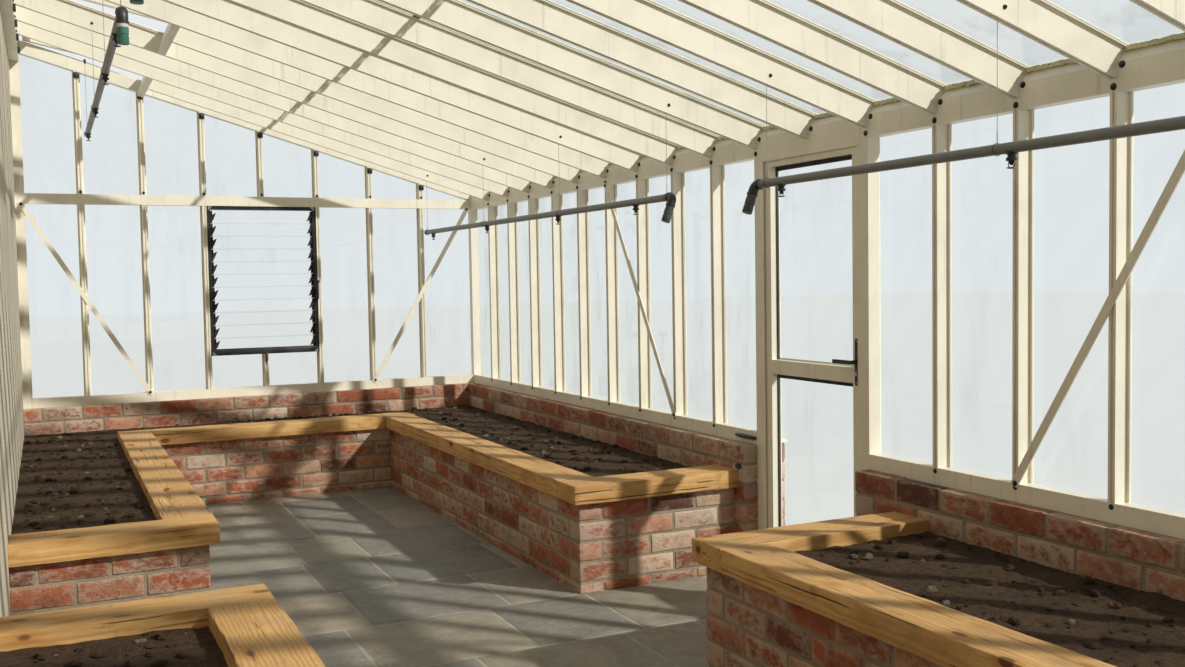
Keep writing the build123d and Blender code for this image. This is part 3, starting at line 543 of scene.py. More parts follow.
class Shape:
    """Collects the corners and faces of one piece, then makes its object."""

    def __init__(self):
        self.points, self.faces, self.tones, self.grains = [], [], [], []

    def add(self, points, faces, tone=0.5, grain=None):
        """Add one closed form."""
        start = len(self.points)
        self.points += points
        self.faces += [[start + i for i in face] for face in faces]
        self.tones += [tone] * len(faces)
        self.grains += grain or [at(0, 0, 0)] * len(points)

    def tube(self, points, sides, closed=False):
        """Join rings of points, and fill both ends unless the last ring meets the first."""
        count = len(points) // sides
        faces = []
        for ring in range(count if closed else count - 1):
            here, there = ring * sides, (ring + 1) % count * sides
            for k in range(sides):
                n = (k + 1) % sides
                faces.append((here + k, here + n, there + n, there + k))
        if not closed:
            faces += [tuple(range(sides))[::-1], tuple(range(len(points) - sides, len(points)))]
        self.add(points, faces)

    def turned(self, foot, axis, outline, sides=12, ribs=0.0):
        """Add a turned form, from pairs of height and radius along an axis."""
        axis = axis.normalized()
        side = axis.orthogonal().normalized()
        points = []
        for height, radius in outline:
            points += circle(foot + axis * height, side, axis.cross(side), radius, sides, ribs)
        self.tube(points, sides)

    def wire(self, path, radius, sides=6, closed=False):
        """Add a round wire along a path."""
        count = len(path)
        points, side = [], None
        for i, spot in enumerate(path):
            ahead = path[(i + 1) % count] if closed or i + 1 < count else spot
            behind = path[i - 1] if closed or i else spot
            way = (ahead - behind).normalized()
            side = way.orthogonal() if side is None else side - way * side.dot(way)
            side.normalize()
            points += circle(spot, side, way.cross(side), radius, sides)
        self.tube(points, sides, closed)

    def bar(self, low, high, edge=0.001):
        """Add a straight bar with eased edges between two corners."""
        low, high = (Vector([pick(a, b) for a, b in zip(low, high)]) for pick in (min, max))
        points, faces = block(high - low, (1, 1, 1), edge)
        self.add([low + p for p in points], faces)

    def plate(self, outline, start, depth):
        """Add a flat plate: its outline in x and z, cut from y by a depth."""
        points = [at(x, y, z) for y in (start, start + depth) for x, z in outline]
        count = len(outline)
        faces = [tuple(range(count)), tuple(range(count, 2 * count))[::-1]]
        faces += [(k, k + count, (k + 1) % count + count, (k + 1) % count) for k in range(count)]
        area = sum(a[0] * b[1] - b[0] * a[1] for a, b in zip(outline, outline[1:] + outline[:1]))
        self.add(points, [face[::-1] for face in faces] if area * depth < 0 else faces)

    def make(self, name, finish, slot, body=STILL, stands_for=(), smooth=35.0):
        """Make the object, hide the nodes that it stands for and let it ride on its body."""
        mesh = bpy.data.meshes.new(name)
        mesh.from_pydata(self.points, [], self.faces)
        mesh.attributes.new("tone", "FLOAT", "FACE").data.foreach_set("value", self.tones)
        flat = [c for spot in self.grains for c in spot]
        mesh.attributes.new("grain", "FLOAT_VECTOR", "POINT").data.foreach_set("vector", flat)
        mesh.shade_smooth()
        mesh.set_sharp_from_angle(angle=math.radians(smooth))
        mesh.materials.append(finishes[finish])
        made = show(name, mesh)
        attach(made, body)
        if stands_for:
            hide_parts(*stands_for)


def block(size, cuts, edge):
    """Give the corners and faces of a box with eased edges, cut across at even steps."""
    edge = min(edge, *(length * 0.3 for length in size))
    lines = [
        [0.0, *(edge + (length - 2 * edge) * n / count for n in range(count + 1)), length]
        for length, count in zip(size, cuts)
    ]
    index, points, faces = {}, [], []

    def corner(cell):
        """Give the number of a corner, which is made when it is first met."""
        if cell not in index:
            spot = Vector([line[step] for line, step in zip(lines, cell)])
            core = Vector([min(max(c, edge), length - edge) for c, length in zip(spot, size)])
            away = spot - core
            index[cell] = len(points)
            points.append(core + away.normalized() * edge if away.length > 0 else spot)
        return index[cell]

    for axis in range(3):
        a, b = (axis + 1) % 3, (axis + 2) % 3
        for level in (0, cuts[axis] + 2):
            for m in range(cuts[a] + 2):
                for n in range(cuts[b] + 2):
                    quad = []
                    for dm, dn in ((0, 0), (1, 0), (1, 1), (0, 1)):
                        cell = [0, 0, 0]
                        cell[axis], cell[a], cell[b] = level, m + dm, n + dn
                        quad.append(corner(tuple(cell)))
                    faces.append(quad if level else quad[::-1])
    return points, faces


def solids(node):
    """Give the lowest and highest corners of each separate solid of a node, in order."""
    mesh = frame["nodes"][node].data
    keys = [tuple(round(c, 5) for c in vertex.co) for vertex in mesh.vertices]
    root = {key: key for key in keys}

    def find(key):
        """Follow a corner to the one that stands for its solid."""
        while root[key] != key:
            root[key] = root[root[key]]
            key = root[key]
        return key

    for face in mesh.polygons:
        first = find(keys[face.vertices[0]])
        for corner in face.vertices[1:]:
            root[find(keys[corner])] = first
    groups = {}
    for key in root:
        groups.setdefault(find(key), []).append(key)
    ends = [[Vector([pick(c) for c in zip(*group)]) for pick in (min, max)] for group in groups.values()]
    return sorted(ends, key=lambda pair: [round(pair[0][axis], 3) for axis in (1, 0, 2)])


def drift(spot, *waves):
    """Give an uneven shift for a place, from pairs of pitch and size, steady within one run."""
    return sum((noise.noise_vector(spot * pitch) * amount for pitch, amount in waves), at(0, 0, 0))


# Brickwork


def lay_face(look, rng, shape, start, end, out, top, bottom, first=None, last=None, ledge=0.0):
    """Lay one face in stretcher bond from the top down; a corner row belongs to one of its two faces."""
    depth, shortest, sliver = 0.05, 0.03, 0.05
    start, end, out = (at(*spot, 0) for spot in (start, end, out))
    along = (end - start).normalized()
    length = (end - start).length
    turn = along.cross(out).z < 0
    skip = look.header + look.joint
    row, high = 0, top
    while high - bottom > look.joint * 2:
        low = max(high - look.course + look.joint, bottom)
        own = (first is not None and row % 2 == first, last is not None and row % 2 == last)
        place = 0.0 if first is None else (-look.proud if own[0] else skip)
        stop = length if last is None else (length + look.proud if own[1] else length - skip)
        size = look.length if first is not None or row % 2 else look.header
        while stop - place > shortest:
            finish = min(place + size * rng.uniform(0.985, 1.01), stop)
            if stop - finish < sliver:
                finish = stop
            corner = (own[0] and place <= 0.0) or (own[1] and finish >= length)
            back = look.header if corner else depth
            proud = look.proud + rng.uniform(-0.0015, 0.0015)
            box = (finish - place, back + proud, high - low + (0.0 if row else ledge))
            points, faces = block(box, (5, 1, 2), look.edge * rng.uniform(0.7, 1.3))
            rims = [at(min(p.x, box[0] - p.x, p.z, box[2] - p.z), 0, 0) for p in points]
            lean = rng.uniform(-0.0012, 0.0012)
            base = start + along * place - out * back + UP * low
            placed = []
            for spot in points:
                spot = base + along * spot.x + out * spot.y + UP * (spot.z + lean * spot.x / box[0])
                placed.append(spot + drift(spot, (38.0, 0.0017), (110.0, 0.0009)))
            shape.add(placed, [face[::-1] for face in faces] if turn else faces, rng.random(), rims)
            place = finish + look.joint
            size = look.length
        high -= look.course
        row += 1


def lay_walls(look):
    """Lay the dwarf walls and the bed walls over the mortar-coloured solids."""
    lay = partial(lay_face, look, random.Random(7))
    gables, fronts, beds, ends = Shape(), Shape(), Shape(), Shape()
    gable_low, gable_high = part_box("gable_walls")
    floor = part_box("floor_slab")[1].z
    back, (inner, outer) = gable_low.x, (corner.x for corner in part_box("front_walls"))
    far, top = gable_high.y, gable_high.z
    near = solids("gable_walls")[1][0].y
    reveal = solids("front_walls")[1][0].y
    buried = floor + 0.35
    ledge = 0.002
    for side in (-1, 1):
        lay(gables, (outer, side * far), (back, side * far), (0, side), top, 0.0, 0)
        lay(gables, (back, side * near), (inner, side * near), (0, -side), top, buried, ledge=ledge)
        lay(fronts, (outer, side * far), (outer, side * reveal), (1, 0), top, 0.0, 1, 0)
        lay(fronts, (inner, side * reveal), (inner, side * near), (-1, 0), top, floor, 0, ledge=ledge)
        lay(fronts, (inner, side * reveal), (outer, side * reveal), (0, -side), top, floor, 1, 1)
    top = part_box("side_bed_walls")[1].z
    for low, high in solids("side_bed_walls"):
        side = 1 if low.y > 0 else -1
        wall, path = (inner, low.x) if high.x > 0 else (back, high.x)
        start, stop = (low.y, high.y) if side > 0 else (high.y, low.y)
        face = (-1, 0) if wall > path else (1, 0)
        lay(beds, (path, start), (path, stop - side * look.header), face, top, floor, 0)
        lay(beds, (path, start), (wall, start), (0, -side), top, floor, 1)
    rear_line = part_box("end_bed_walls")[0].x
    for low, high in solids("end_bed_walls"):
        side, line = (1, low.y) if low.y > 0 else (-1, high.y)
        lay(ends, (rear_line, line), (high.x, line), (0, -side), top, floor)
    for shape, name in zip((gables, fronts, beds, ends), ("gable", "front", "side_bed", "end_bed")):
        shape.make(name + "_bricks", "brick", "brick", smooth=50.0)


# Ground and timber


def lay_flags(look):
    """Lay the slate flags of the path in rows, with broken joints."""
    rng = random.Random(21)
    shape = Shape()
    low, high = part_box("floor_slab")
    path_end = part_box("end_bed_walls")[1].y
    bed_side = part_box("side_bed_walls")[1].x
    beds = [pair for node in ("side_bed_soil", "end_bed_soil") for pair in solids(node)]
    widths = (0.60, 0.32, 0.60, 0.45)
    first_line, thick, pitch, smallest = -0.07, 0.012, 0.05, 0.05
    door_half = 0.39
    seen_starts = {0: -1.70, 1: -1.59}
    rows = int(path_end / look.row) + 1
    for row in range(-rows, rows):
        near = first_line + row * look.row
        far = near + look.row - look.joint
        place = seen_starts.get(row, low.x - rng.uniform(0.0, 0.5))
        turn = rng.randrange(4)
        while place < high.x:
            width = widths[turn % 4]
            west, east = max(place, low.x), min(place + width - look.joint, high.x)
            place += width
            turn += 1
            if east - west < smallest:
                continue
            reach = door_half if east > bed_side else path_end
            south, north = max(near, -path_end, -reach), min(far, path_end, reach)
            if north - south < smallest:
                continue
            if any(a.x < west and east < b.x and a.y < south and north < b.y for a, b in beds):
                continue
            size = (east - west, north - south, thick)
            cuts = [max(2, int(length / pitch)) for length in size[:2]]
            points, faces = block(size, (*cuts, 1), 0.0022)
            base = at(west, south, high.z + look.rise - thick)
            placed = [p + base + drift(p + base, (7.0, 0.0018), (40.0, 0.0011)) for p in points]
            shape.add(placed, faces, rng.random())
    shape.make("slate_flags", "slate", "slate", smooth=40.0)


def cut_timbers(look):
    """Cut the bed copings: sawn edges, a slight bow and drying cracks."""
    rng = random.Random(5)
    shape = Shape()
    strips, pitch, bow_size = 14, 0.03, 0.0015
    for low, high in solids("bed_copings"):
        size = high - low
        long_x = size.x > size.y
        length, width = (size.x, size.y) if long_x else (size.y, size.x)
        along, across = (EAST, NORTH) if long_x else (NORTH, -EAST)
        base = low if long_x else at(high.x, low.y, low.z)
        points, faces = block((length, width, size.z), (max(6, int(length / pitch)), strips, 5), look.edge)
        pith = at(rng.uniform(0, 40), rng.uniform(-0.05, 0.05), rng.uniform(-0.14, -0.05))
        cracks = [
            (rng.uniform(0.25, 0.75) * width, rng.uniform(0, 0.75) * length, rng.uniform(0.25, 0.7))
            for _ in range(max(1, int(length / 0.8)))
        ]
        half_strip = (width - 2 * look.edge) / strips / 2
        placed, grains = [], []
        for spot in points:
            grains.append(at(spot.x, spot.y - width / 2, spot.z) + pith)
            bow = math.sin(spot.x / length * math.pi) * bow_size
            real = base + along * spot.x + across * spot.y + UP * (spot.z - bow * 0.4)
            real += drift(real, (9.0, 0.0020), (55.0, 0.0009))
            if spot.z > size.z - 0.001:
                for line, begin, reach in cracks:
                    run = (spot.x - begin) / reach
                    sway = math.sin(spot.x * 9.0 + line * 50) * 0.006
                    if 0 < run < 1 and abs(spot.y - line - sway) < half_strip:
                        real -= UP * look.crack * math.sin(run * math.pi)
            placed.append(real)
        shape.add(placed, faces, rng.random(), grains)
    shape.make("coping_timbers", "timber", "timber", STILL, ["bed_copings"], smooth=28.0)


def clod(rng, size):
    """Give a small lumpy ball: corners and faces."""
    rings, sides = 4, 6
    points, faces = [-UP], []
    for ring in range(1, rings):
        level = math.pi * ring / rings
        for k in range(sides):
            angle = math.tau * (k + 0.5 * ring) / sides
            out = math.sin(level)
            points.append(at(out * math.cos(angle), out * math.sin(angle), -math.cos(level)))
    points.append(UP)
    for k in range(sides):
        n, last = (k + 1) % sides, 1 + (rings - 2) * sides
        faces += [(0, 1 + n, 1 + k), (len(points) - 1, last + k, last + n)]
        for start in range(1, last, sides):
            faces.append((start + k, start + n, start + n + sides, start + k + sides))
    stretch = at(rng.uniform(0.7, 1.4), rng.uniform(0.7, 1.4), rng.uniform(0.5, 0.9)) * size
    return [p * stretch * rng.uniform(0.8, 1.15) for p in points], faces


def soil_height(x, y, level, relief):
    """Give the height of the loose soil."""
    spot = at(x, y, 0.0)
    rough = noise.noise(spot * 17.0) * 0.45 + noise.noise(spot * 43.0) * 0.25
    return level - 0.006 + relief * (noise.fractal(spot * 2.6, 0.9, 2.0, 2) * 0.55 + rough)


def fill_bed(shape, rng, look, low, high, level):
    """Fill one bed: an uneven top on a closed slab, with clods and stones lying on it."""
    pitch, thick, margin = 0.028, 0.06, 0.02
    sizes = (0.004, 0.005, 0.006, 0.007, 0.009, 0.012, 0.018)
    across, along = int((high.x - low.x) / pitch), int((high.y - low.y) / pitch)
    points, faces = [], []
    for j in range(along + 1):
        for i in range(across + 1):
            x = low.x + (high.x - low.x) * i / across
            y = low.y + (high.y - low.y) * j / along
            points.append(at(x, y, soil_height(x, y, level, look.relief)))
    count, wide = len(points), across + 1
    for j in range(along):
        for a in range(j * wide, j * wide + across):
            faces.append((a, a + 1, a + wide + 1, a + wide))
    rim = [*range(across), *range(across, count - 1, wide), *range(count - 1, along * wide, -1)]
    rim += range(along * wide, 0, -wide)
    points += [at(points[i].x, points[i].y, level - thick) for i in rim]
    for n in range(len(rim)):
        m = (n + 1) % len(rim)
        faces.append((rim[m], rim[n], count + n, count + m))
    faces.append(tuple(range(count, len(points)))[::-1])
    shape.add(points, faces, 0.3)
    for _ in range(look.clods):
        size = rng.choice(sizes)
        lump, sides = clod(rng, size)
        x, y = (rng.uniform(a + margin, b - margin) for a, b in zip(low[:2], high[:2]))
        spot = at(x, y, soil_height(x, y, level, look.relief) + size * 0.2)
        shape.add([p + spot for p in lump], sides, rng.random())


def fill_beds(look):
    """Fill the side beds and the end beds, clear of the bricks round them."""
    rng = random.Random(11)
    margin, front_line = 0.044, 1.0
    for node, name in (("side_bed_soil", "side_bed_earth"), ("end_bed_soil", "end_bed_earth")):
        shape = Shape()
        for low, high in solids(node):
            if low.y > 0:
                low.y += margin
            else:
                high.y -= margin
            if node == "side_bed_soil" and high.x > front_line:
                low.x += margin
            elif node == "side_bed_soil":
                high.x -= margin
            fill_bed(shape, rng, look, low, high, high.z)
        shape.make(name, "soil", "soil", STILL, [node], smooth=60.0)


# Fittings


def bolt(shape, spot, axis, radius):
    """Add a dome-headed bolt on its washer."""
    shares = (1.35, 1.35, 1.25, 1.0, 0.92, 0.62, 0.22)
    heights = (0.0, 0.0024, 0.0028, 0.0030, 0.0055, 0.0078, 0.0088)
    outline = [(height, radius * share) for height, share in zip(heights, shares)]
    shape.turned(spot - axis * 0.001, axis, outline)


def rake(spot):
    """Give the height of the underside of the gable rafters."""
    high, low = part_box("corner_posts")[1].z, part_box("gable_transoms")[1].z
    start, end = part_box("gable_sills")[0].x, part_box("eave_beam")[0].x
    return high + (spot - start) * (low - high) / (end - start)


def fit_bolts(look):
    """Fit the black bolts of the frame, the cleats at the bar heads, and black blocks at the rafter heads
    that paint the shade of the gaps between them.
    """
    bolts, cleats_and_shade_blocks = Shape(), Shape()
    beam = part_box("eave_beam")[0]
    plate_low, plate_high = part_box("wall_plate")
    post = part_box("door_frame")[1].y - 0.013
    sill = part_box("gable_sills")[1].z - 0.012
    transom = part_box("gable_transoms")[1].z
    head_line, rafter_line, inset, pair_half = beam.z + 0.016, beam.z + 0.078, 0.018, 0.030
    radius, small, cleat_thick = look.bolt, look.bolt * 0.8, 0.007
    for low, high in solids("front_mullions"):
        middle = (low.y + high.y) / 2
        bolt(bolts, at(beam.x, middle, head_line), -EAST, radius)
        bolt(bolts, at(beam.x, middle, sill), -EAST, small)
    for middle in (-post, post):
        bolt(bolts, at(beam.x, middle, head_line), -EAST, radius)
    for low, high in solids("rafters"):
        middle = (low.y + high.y) / 2
        for shift in (-pair_half, pair_half):
            bolt(bolts, at(beam.x, middle + shift, rafter_line), -EAST, radius)
        # Black block under each rafter head: painted shade of the dark gap between the heads, not a real
        # cleat.
        foot = at(plate_high.x, middle - 0.017, plate_low.z - 0.018)
        cleats_and_shade_blocks.bar(foot, foot + at(0.014, 0.034, 0.038))
        bolt(bolts, at(plate_high.x, middle - 0.034, plate_low.z + 0.030), EAST, radius)
    for low, high in solids("gable_mullions"):
        middle = (low.x + high.x) / 2
        face, axis = (low.y, -NORTH) if low.y > 0 else (high.y, NORTH)
        if low.z < sill:
            bolt(bolts, at(middle, face, sill), axis, small)
        if high.z > transom:
            bolt(bolts, at(middle, face, transom + 0.014), axis, small)
            front, top = face + axis.y * cleat_thick, rake(middle)
            cleats_and_shade_blocks.bar((middle - 0.019, face, top - 0.044), (middle + 0.019, front, top - 0.007))
            bolt(bolts, at(middle, front, top - 0.026), axis, small)
    for low, high in solids("wall_braces"):
        middle = (low + high) / 2
        if high.y - low.y < high.x - low.x:
            face, axis = (low.y, -NORTH) if middle.y > 0 else (high.y, NORTH)
            rising, spots = middle.x > 0, ((low.x + inset, face), (high.x - inset, face))
        else:
            axis, rising = -EAST, middle.y > 0
            spots = ((low.x, low.y + inset), (low.x, high.y - inset))
        levels = (low.z + inset, high.z - inset)
        for (x, y), z in zip(spots, levels if rising else levels[::-1]):
            bolt(bolts, at(x, y, z), axis, radius * 0.85)
    bolts.make("frame_bolts", "black_plastic", "black_plastic")
    cleats_and_shade_blocks.make("frame_cleats_and_shade_blocks", "black_paint", "black_paint")


def seal_eaves():
    """Lay the rough foam strips under the lowest roof panes."""
    shape = Shape()
    thick, deep, held = 0.0118, 0.031, 0.016
    for low, high in solids("eave_seal"):
        slope = math.atan2(high.z - low.z - 0.0115, high.x - low.x)
        slant = at(-math.cos(slope), 0, math.sin(slope))
        out = at(math.sin(slope), 0, math.cos(slope))
        points, faces = block((high.y - low.y, deep, thick), (44, 6, 3), 0.002)
        base = at(high.x - thick * math.sin(slope), low.y, low.z)
        placed = []
        for spot in points:
            real = base + NORTH * spot.x + slant * spot.y + out * spot.z
            free = max(0.0, spot.y - held) / (deep - held)
            lump = drift(real, (55.0, 0.007), (140.0, 0.005))
            sag = free * (0.006 + lump.z) * (1 - spot.z / thick)
            placed.append(real + slant * lump.x * free - out * sag)
        shape.add(placed, faces)
    shape.make("foam_strips", "seal_foam", "seal_foam", STILL, ["eave_seal"], smooth=60.0)


def bend(corner, start, end, radius, steps=6):
    """Give a smooth bend at a corner, from one direction into another."""
    first, last = corner - start * radius, corner + end * radius
    for step in range(steps + 1):
        share = step / steps
        yield first * (1 - share) ** 2 + corner * 2 * share * (1 - share) + last * share**2


def lay_pipes():
    """Lay the spray pipes: a long run, an elbow, a short drop and a ribbed cap."""
    pipes, dark, green, grey, pale = (Shape() for _ in range(5))
    bore, half, lean_east = 0.016, 0.022, math.radians(20.0)
    lip = ((0.0, 0.0185), (0.001, 0.0212), (0.008, 0.0212), (0.009, 0.0185))
    plug = ((0.0, 0.0165), (0.001, 0.0186), (0.018, 0.0186), (0.019, 0.0150))
    collar = ((0.0, 0.0165), (0.001, 0.0184), (0.012, 0.0184), (0.013, 0.0172), (0.015, 0.0172))
    grip = ((0.0, 0.0172), (0.001, 0.0194), (0.023, 0.0194), (0.024, 0.0176), (0.029, 0.0176))
    crown = ((0.0, 0.0176), (0.001, 0.0193), (0.026, 0.0196), (0.029, 0.0184), (0.0295, 0.0095))
    for low, high in solids("irrigation_pipes"):
        x, z = high.x - half, high.z - half
        near, far, ahead = (high.y, low.y, NORTH) if high.y < 0 else (low.y, high.y, -NORTH)
        corner, far_end = at(x, near - ahead.y * 0.023, z), at(x, far, z)
        lean = lean_east if x > 0 else 0.0
        down = at(-math.sin(lean), 0, -math.cos(lean))
        turn = list(bend(corner, ahead, down, 0.028))
        pipes.wire([far_end, corner - ahead * 0.4, *turn, corner + down * 0.060], bore, 20)
        dark.wire([corner - ahead * 0.036, *turn, corner + down * 0.044], bore + 0.0032, 20)
        dark.turned(corner - ahead * 0.036, ahead, lip, 24)
        dark.turned(corner + down * 0.036, down, lip, 24)
        dark.turned(far_end, ahead, plug, 24)
        cap, ring = (green, pale) if x < 0 else (grey, grey)
        foot = corner + down * 0.044
        ring.turned(foot, down, collar, 24)
        cap.turned(foot + down * 0.014, down, grip, 48, 0.045)
        cap.turned(foot + down * 0.042, down, crown, 24)
    pipes.make("spray_pipes", "grey_pipe", "grey_pipe", STILL, ["irrigation_pipes"], smooth=40.0)
    dark.make("pipe_elbows", "black_plastic", "grey_pipe", smooth=40.0)
    green.make("green_pipe_ends", "green_cap", "grey_pipe")
    grey.make("dark_pipe_ends", "dark_cap", "grey_pipe")
    pale.make("pale_pipe_rings", "pale_plastic", "grey_pipe")


def fit_heads():
    """Fit the spray heads under the pipes: a body, two arms and a plate."""
    heads = Shape()
    body = ((0.0, 0.0160), (0.007, 0.0165), (0.008, 0.0115), (0.016, 0.0105), (0.017, 0.0150))
    body += ((0.026, 0.0150), (0.027, 0.0085), (0.034, 0.0060), (0.038, 0.0032))
    plate = ((0.0, 0.004), (0.001, 0.0140), (0.0028, 0.0146), (0.005, 0.005))
    arm = ((0.0085, 0.021), (0.0120, 0.030), (0.0090, 0.038), (0.0, 0.0415))
    for low, high in solids("spray_nozzles"):
        top = at((low.x + high.x) / 2, (low.y + high.y) / 2, high.z)
        heads.turned(top + UP * 0.005, -UP, body, 16)
        for side in (-1, 1):
            heads.wire([top + at(0, side * out, -fall) for out, fall in arm], 0.0016)
        heads.turned(top - UP * 0.0385, -UP, plate, 16)
    heads.make("spray_heads", "black_plastic", "black_plastic", STILL, ["spray_nozzles"])


def hang_pipes(thin):
    """Hang the pipes on wires: a ring, a twist, a straight run and a loop on its hook."""
    wires, hooks = Shape(), Shape()
    rise, stem = 0.031, 0.026
    screw = ((0.0, 0.0075), (0.001, 0.0078), (0.0015, 0.0032), (0.0055, 0.0030), (0.006, 0.0068))
    screw += ((0.0085, 0.0058), (0.0095, 0.002))
    clamp = ((0.0, 0.0018), (0.001, 0.0034), (0.006, 0.0038), (0.012, 0.0034), (0.013, 0.0018))
    turns = [math.tau * k / 20 for k in range(20)]
    for low, high in solids("pipe_hangers"):
        radius = (high.x - low.x) / 2
        centre = at((low.x + high.x) / 2, (low.y + high.y) / 2, low.z + radius)
        ring = [centre + at(math.cos(a), 0, math.sin(a)) * (radius - 0.0002) for a in turns]
        hooks.wire(ring, thin * 0.9, closed=True)
        top = at(centre.x, centre.y, high.z + rise)
        crown = centre + UP * radius
        coil = [at(math.cos(k * 1.1) * 0.0016, math.sin(k * 1.1) * 0.0016, k * 0.0017) for k in range(22)]
        wires.wire([crown + spot for spot in coil], thin * 0.8)
        run = [crown - UP * 0.0005, crown + UP * 0.05, top - UP * 0.05, top - UP * 0.012]
        wires.wire(run, thin)
        loop = [top + at(math.sin(a), 0, -1 - math.cos(a)) * 0.006 for a in turns]
        wires.wire(loop, thin * 0.8, closed=True)
        flank = top - NORTH * (thin + 0.0008) - UP * 0.004
        bolt(hooks, flank - NORTH * stem - UP * 0.016, -NORTH, 0.0054)
        hooks.turned(flank, NORTH, screw, 12)
        hooks.turned(top + at(0, 0.0018, -0.015), -UP, clamp, 10)
    wires.make("hanging_wires", "steel", "steel", STILL, ["pipe_hangers"])
    hooks.make("wire_hooks", "black_paint", "black_paint")


def fit_louvres():
    """Fit the blade clips, the bottom channel, the corner plates, the catch and the lever of the louvres."""
    black, plates = Shape(), Shape()
    blades = solids("louvre_blades")
    lip, stile, inner_face = 0.0102, 0.025, 0.047
    tooth = ((0.006, -0.034), (0.020, -0.018), (0.038, 0.028), (0.022, 0.020), (0.006, 0.006))
    corner = ((0.0, 0.0), (0.030, 0.0), (0.022, 0.010), (0.010, 0.022), (0.0, 0.030))
    rivet = ((0.0, 0.0036), (0.0012, 0.0034), (0.0018, 0.0014))
    lever = ((0.002, 1.318), (0.022, 1.312), (0.034, 1.322), (0.036, 1.350), (0.033, 1.400), (0.036, 1.440))
    knob = ((-0.012, 0.0070), (-0.008, 0.0105), (0.0, 0.0120), (0.008, 0.0100), (0.012, 0.0050))
    for low, high in solids("louvre_frames"):
        inward = -1 if low.y > 0 else 1
        line = inward * (inner_face - max(abs(low.y), abs(high.y)))
        left, right, base = low.x + stile, high.x - stile, low.z
        for blade_low, blade_high in (pair for pair in blades if pair[0].y * low.y > 0):
            z = (blade_low.z + blade_high.z) / 2
            black.plate([(left + x, z + h) for x, h in tooth], line, -inward * 0.011)
            black.plate([(right - x, z - h) for x, h in tooth], line, -inward * 0.011)

        def bar(x, reach, z, edge=0.001):
            """Add a bar of the channel or the catch, from pairs of x, depth and height."""
            ends = [at(a, line + inward * b, base + c) for a, b, c in zip(x, reach, z)]
            black.bar(*ends, edge)

        middle = (low.x + high.x) / 2
        bar((low.x + lip, high.x - lip), (0.0085, -0.0005), (0.0003, 0.041), 0.002)
        bar((low.x + lip, high.x - lip), (0.0025, -0.0005), (0.041, 0.046))
        bar((middle - 0.008, middle + 0.008), (0.008, 0.018), (-0.052, 0.012), 0.002)
        bar((middle - 0.004, middle + 0.004), (0.008, 0.013), (-0.072, -0.050))
        for x, way in ((low.x + lip, 1), (high.x - lip, -1)):
            for z, rise, reach in ((low.z + 0.0005, 1, 0.0087), (high.z - 0.0005, -1, 0.0002)):
                start = line + inward * reach
                plates.plate([(x + way * a, z + rise * b) for a, b in corner], start, inward * 0.0012)
                spot = at(x + way * 0.008, start + inward * 0.001, z + rise * 0.008)
                plates.turned(spot, NORTH * inward, rivet, 10)
        hold = high.x - 0.006
        path = [at(hold, line + inward * reach, z) for reach, z in lever]
        black.wire(path, 0.0075, 14)
        black.turned(path[-1] - UP * 0.004, UP, knob, 16)
        black.bar((hold - 0.013, line + inward * 0.006, 1.288), (hold + 0.013, line, 1.352), 0.002)
    black.make("louvre_fittings", "black_plastic", "black_paint")
    plates.make("louvre_corners", "steel", "black_paint")


def fit_door():
    """Fit the hinge screws, the lock and its screws, the gasket and the grip of the stay on the sill."""
    fixed, moving, gasket, grip = (Shape() for _ in range(4))
    low, high = solids("door_catch")[0]
    middle = (low + high) / 2
    outline = ((0.001, 0.003), (0.004, 0.0072), (0.030, 0.0092), (0.085, 0.0104), (0.120, 0.0092))
    outline += ((0.150, 0.0074), (0.158, 0.003))
    grip.turned(at(middle.x - 0.0012, low.y, middle.z), NORTH, outline, 20)
    for low, high in solids("door_gasket"):
        gasket.bar((low.x, low.y, high.z - 0.016), high, 0.0008)
        gasket.bar((low.x + 0.001, low.y + 0.0005, high.z - 0.019), high - at(0, 0.0005, 0.015), 0.0008)
        for side, inner in ((low.y, low.y + 0.005), (high.y, high.y - 0.005)):
            gasket.bar((low.x + 0.001, side, low.z), (high.x, inner, high.z - 0.014), 0.0008)
    head = ((-0.0006, 0.0042), (0.0006, 0.0042), (0.0014, 0.0026), (0.0015, 0.0006))
    lock = ((-0.001, 0.0088), (0.0035, 0.0088), (0.0042, 0.0080), (0.0043, 0.0042), (0.0036, 0.0040))
    lock += ((0.0036, 0.0005),)
    for low, high in solids("door_hinges_fixed"):
        for z in (low.z + 0.010, low.z + 0.024, high.z - 0.010, high.z - 0.024):
            fixed.turned(at(high.x - 0.0035, high.y - 0.012, z), EAST, head, 10)
    for low, high in solids("door_hinges_moving"):
        for z in (low.z + 0.008, high.z - 0.008):
            moving.turned(at(low.x + 0.0025, low.y + 0.012, z), EAST, head, 10)
    low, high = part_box("door_leaf")
    middle, screw_heights, lock_height = low.y + 0.0265, (0.985, 1.155), 1.022
    for face, axis in ((low.x - 0.004, -EAST), (high.x + 0.004, EAST)):
        for z in screw_heights:
            moving.turned(at(face, middle, z), axis, head, 10)
        moving.turned(at(face, middle, lock_height), axis, lock, 20)
    fixed.make("hinge_screws", "steel", "steel")
    grip.make("stay_grip", "black_plastic", "black_paint")
    moving.make("door_screws", "steel", "steel", SWINGS)
    gasket.make("glazing_gasket", "gasket", "gasket", SWINGS, ["door_gasket"])


# Operators


def camera_matrix(look):
    """Give the camera's place and turn."""
    ahead = at(math.sin(look.turn), math.cos(look.turn), 0.0)
    right = at(math.cos(look.turn), -math.sin(look.turn), 0.0)
    nod, roll = -look.nod, -look.roll
    view = ahead * math.cos(nod) + UP * math.sin(nod)
    over = UP * math.cos(nod) - ahead * math.sin(nod)
    side = right * math.cos(roll) + over * math.sin(roll)
    over = over * math.cos(roll) - right * math.sin(roll)
    turn = Matrix((side, over, -view)).transposed().to_4x4()
    return Matrix.Translation(Vector(look.place)) @ turn


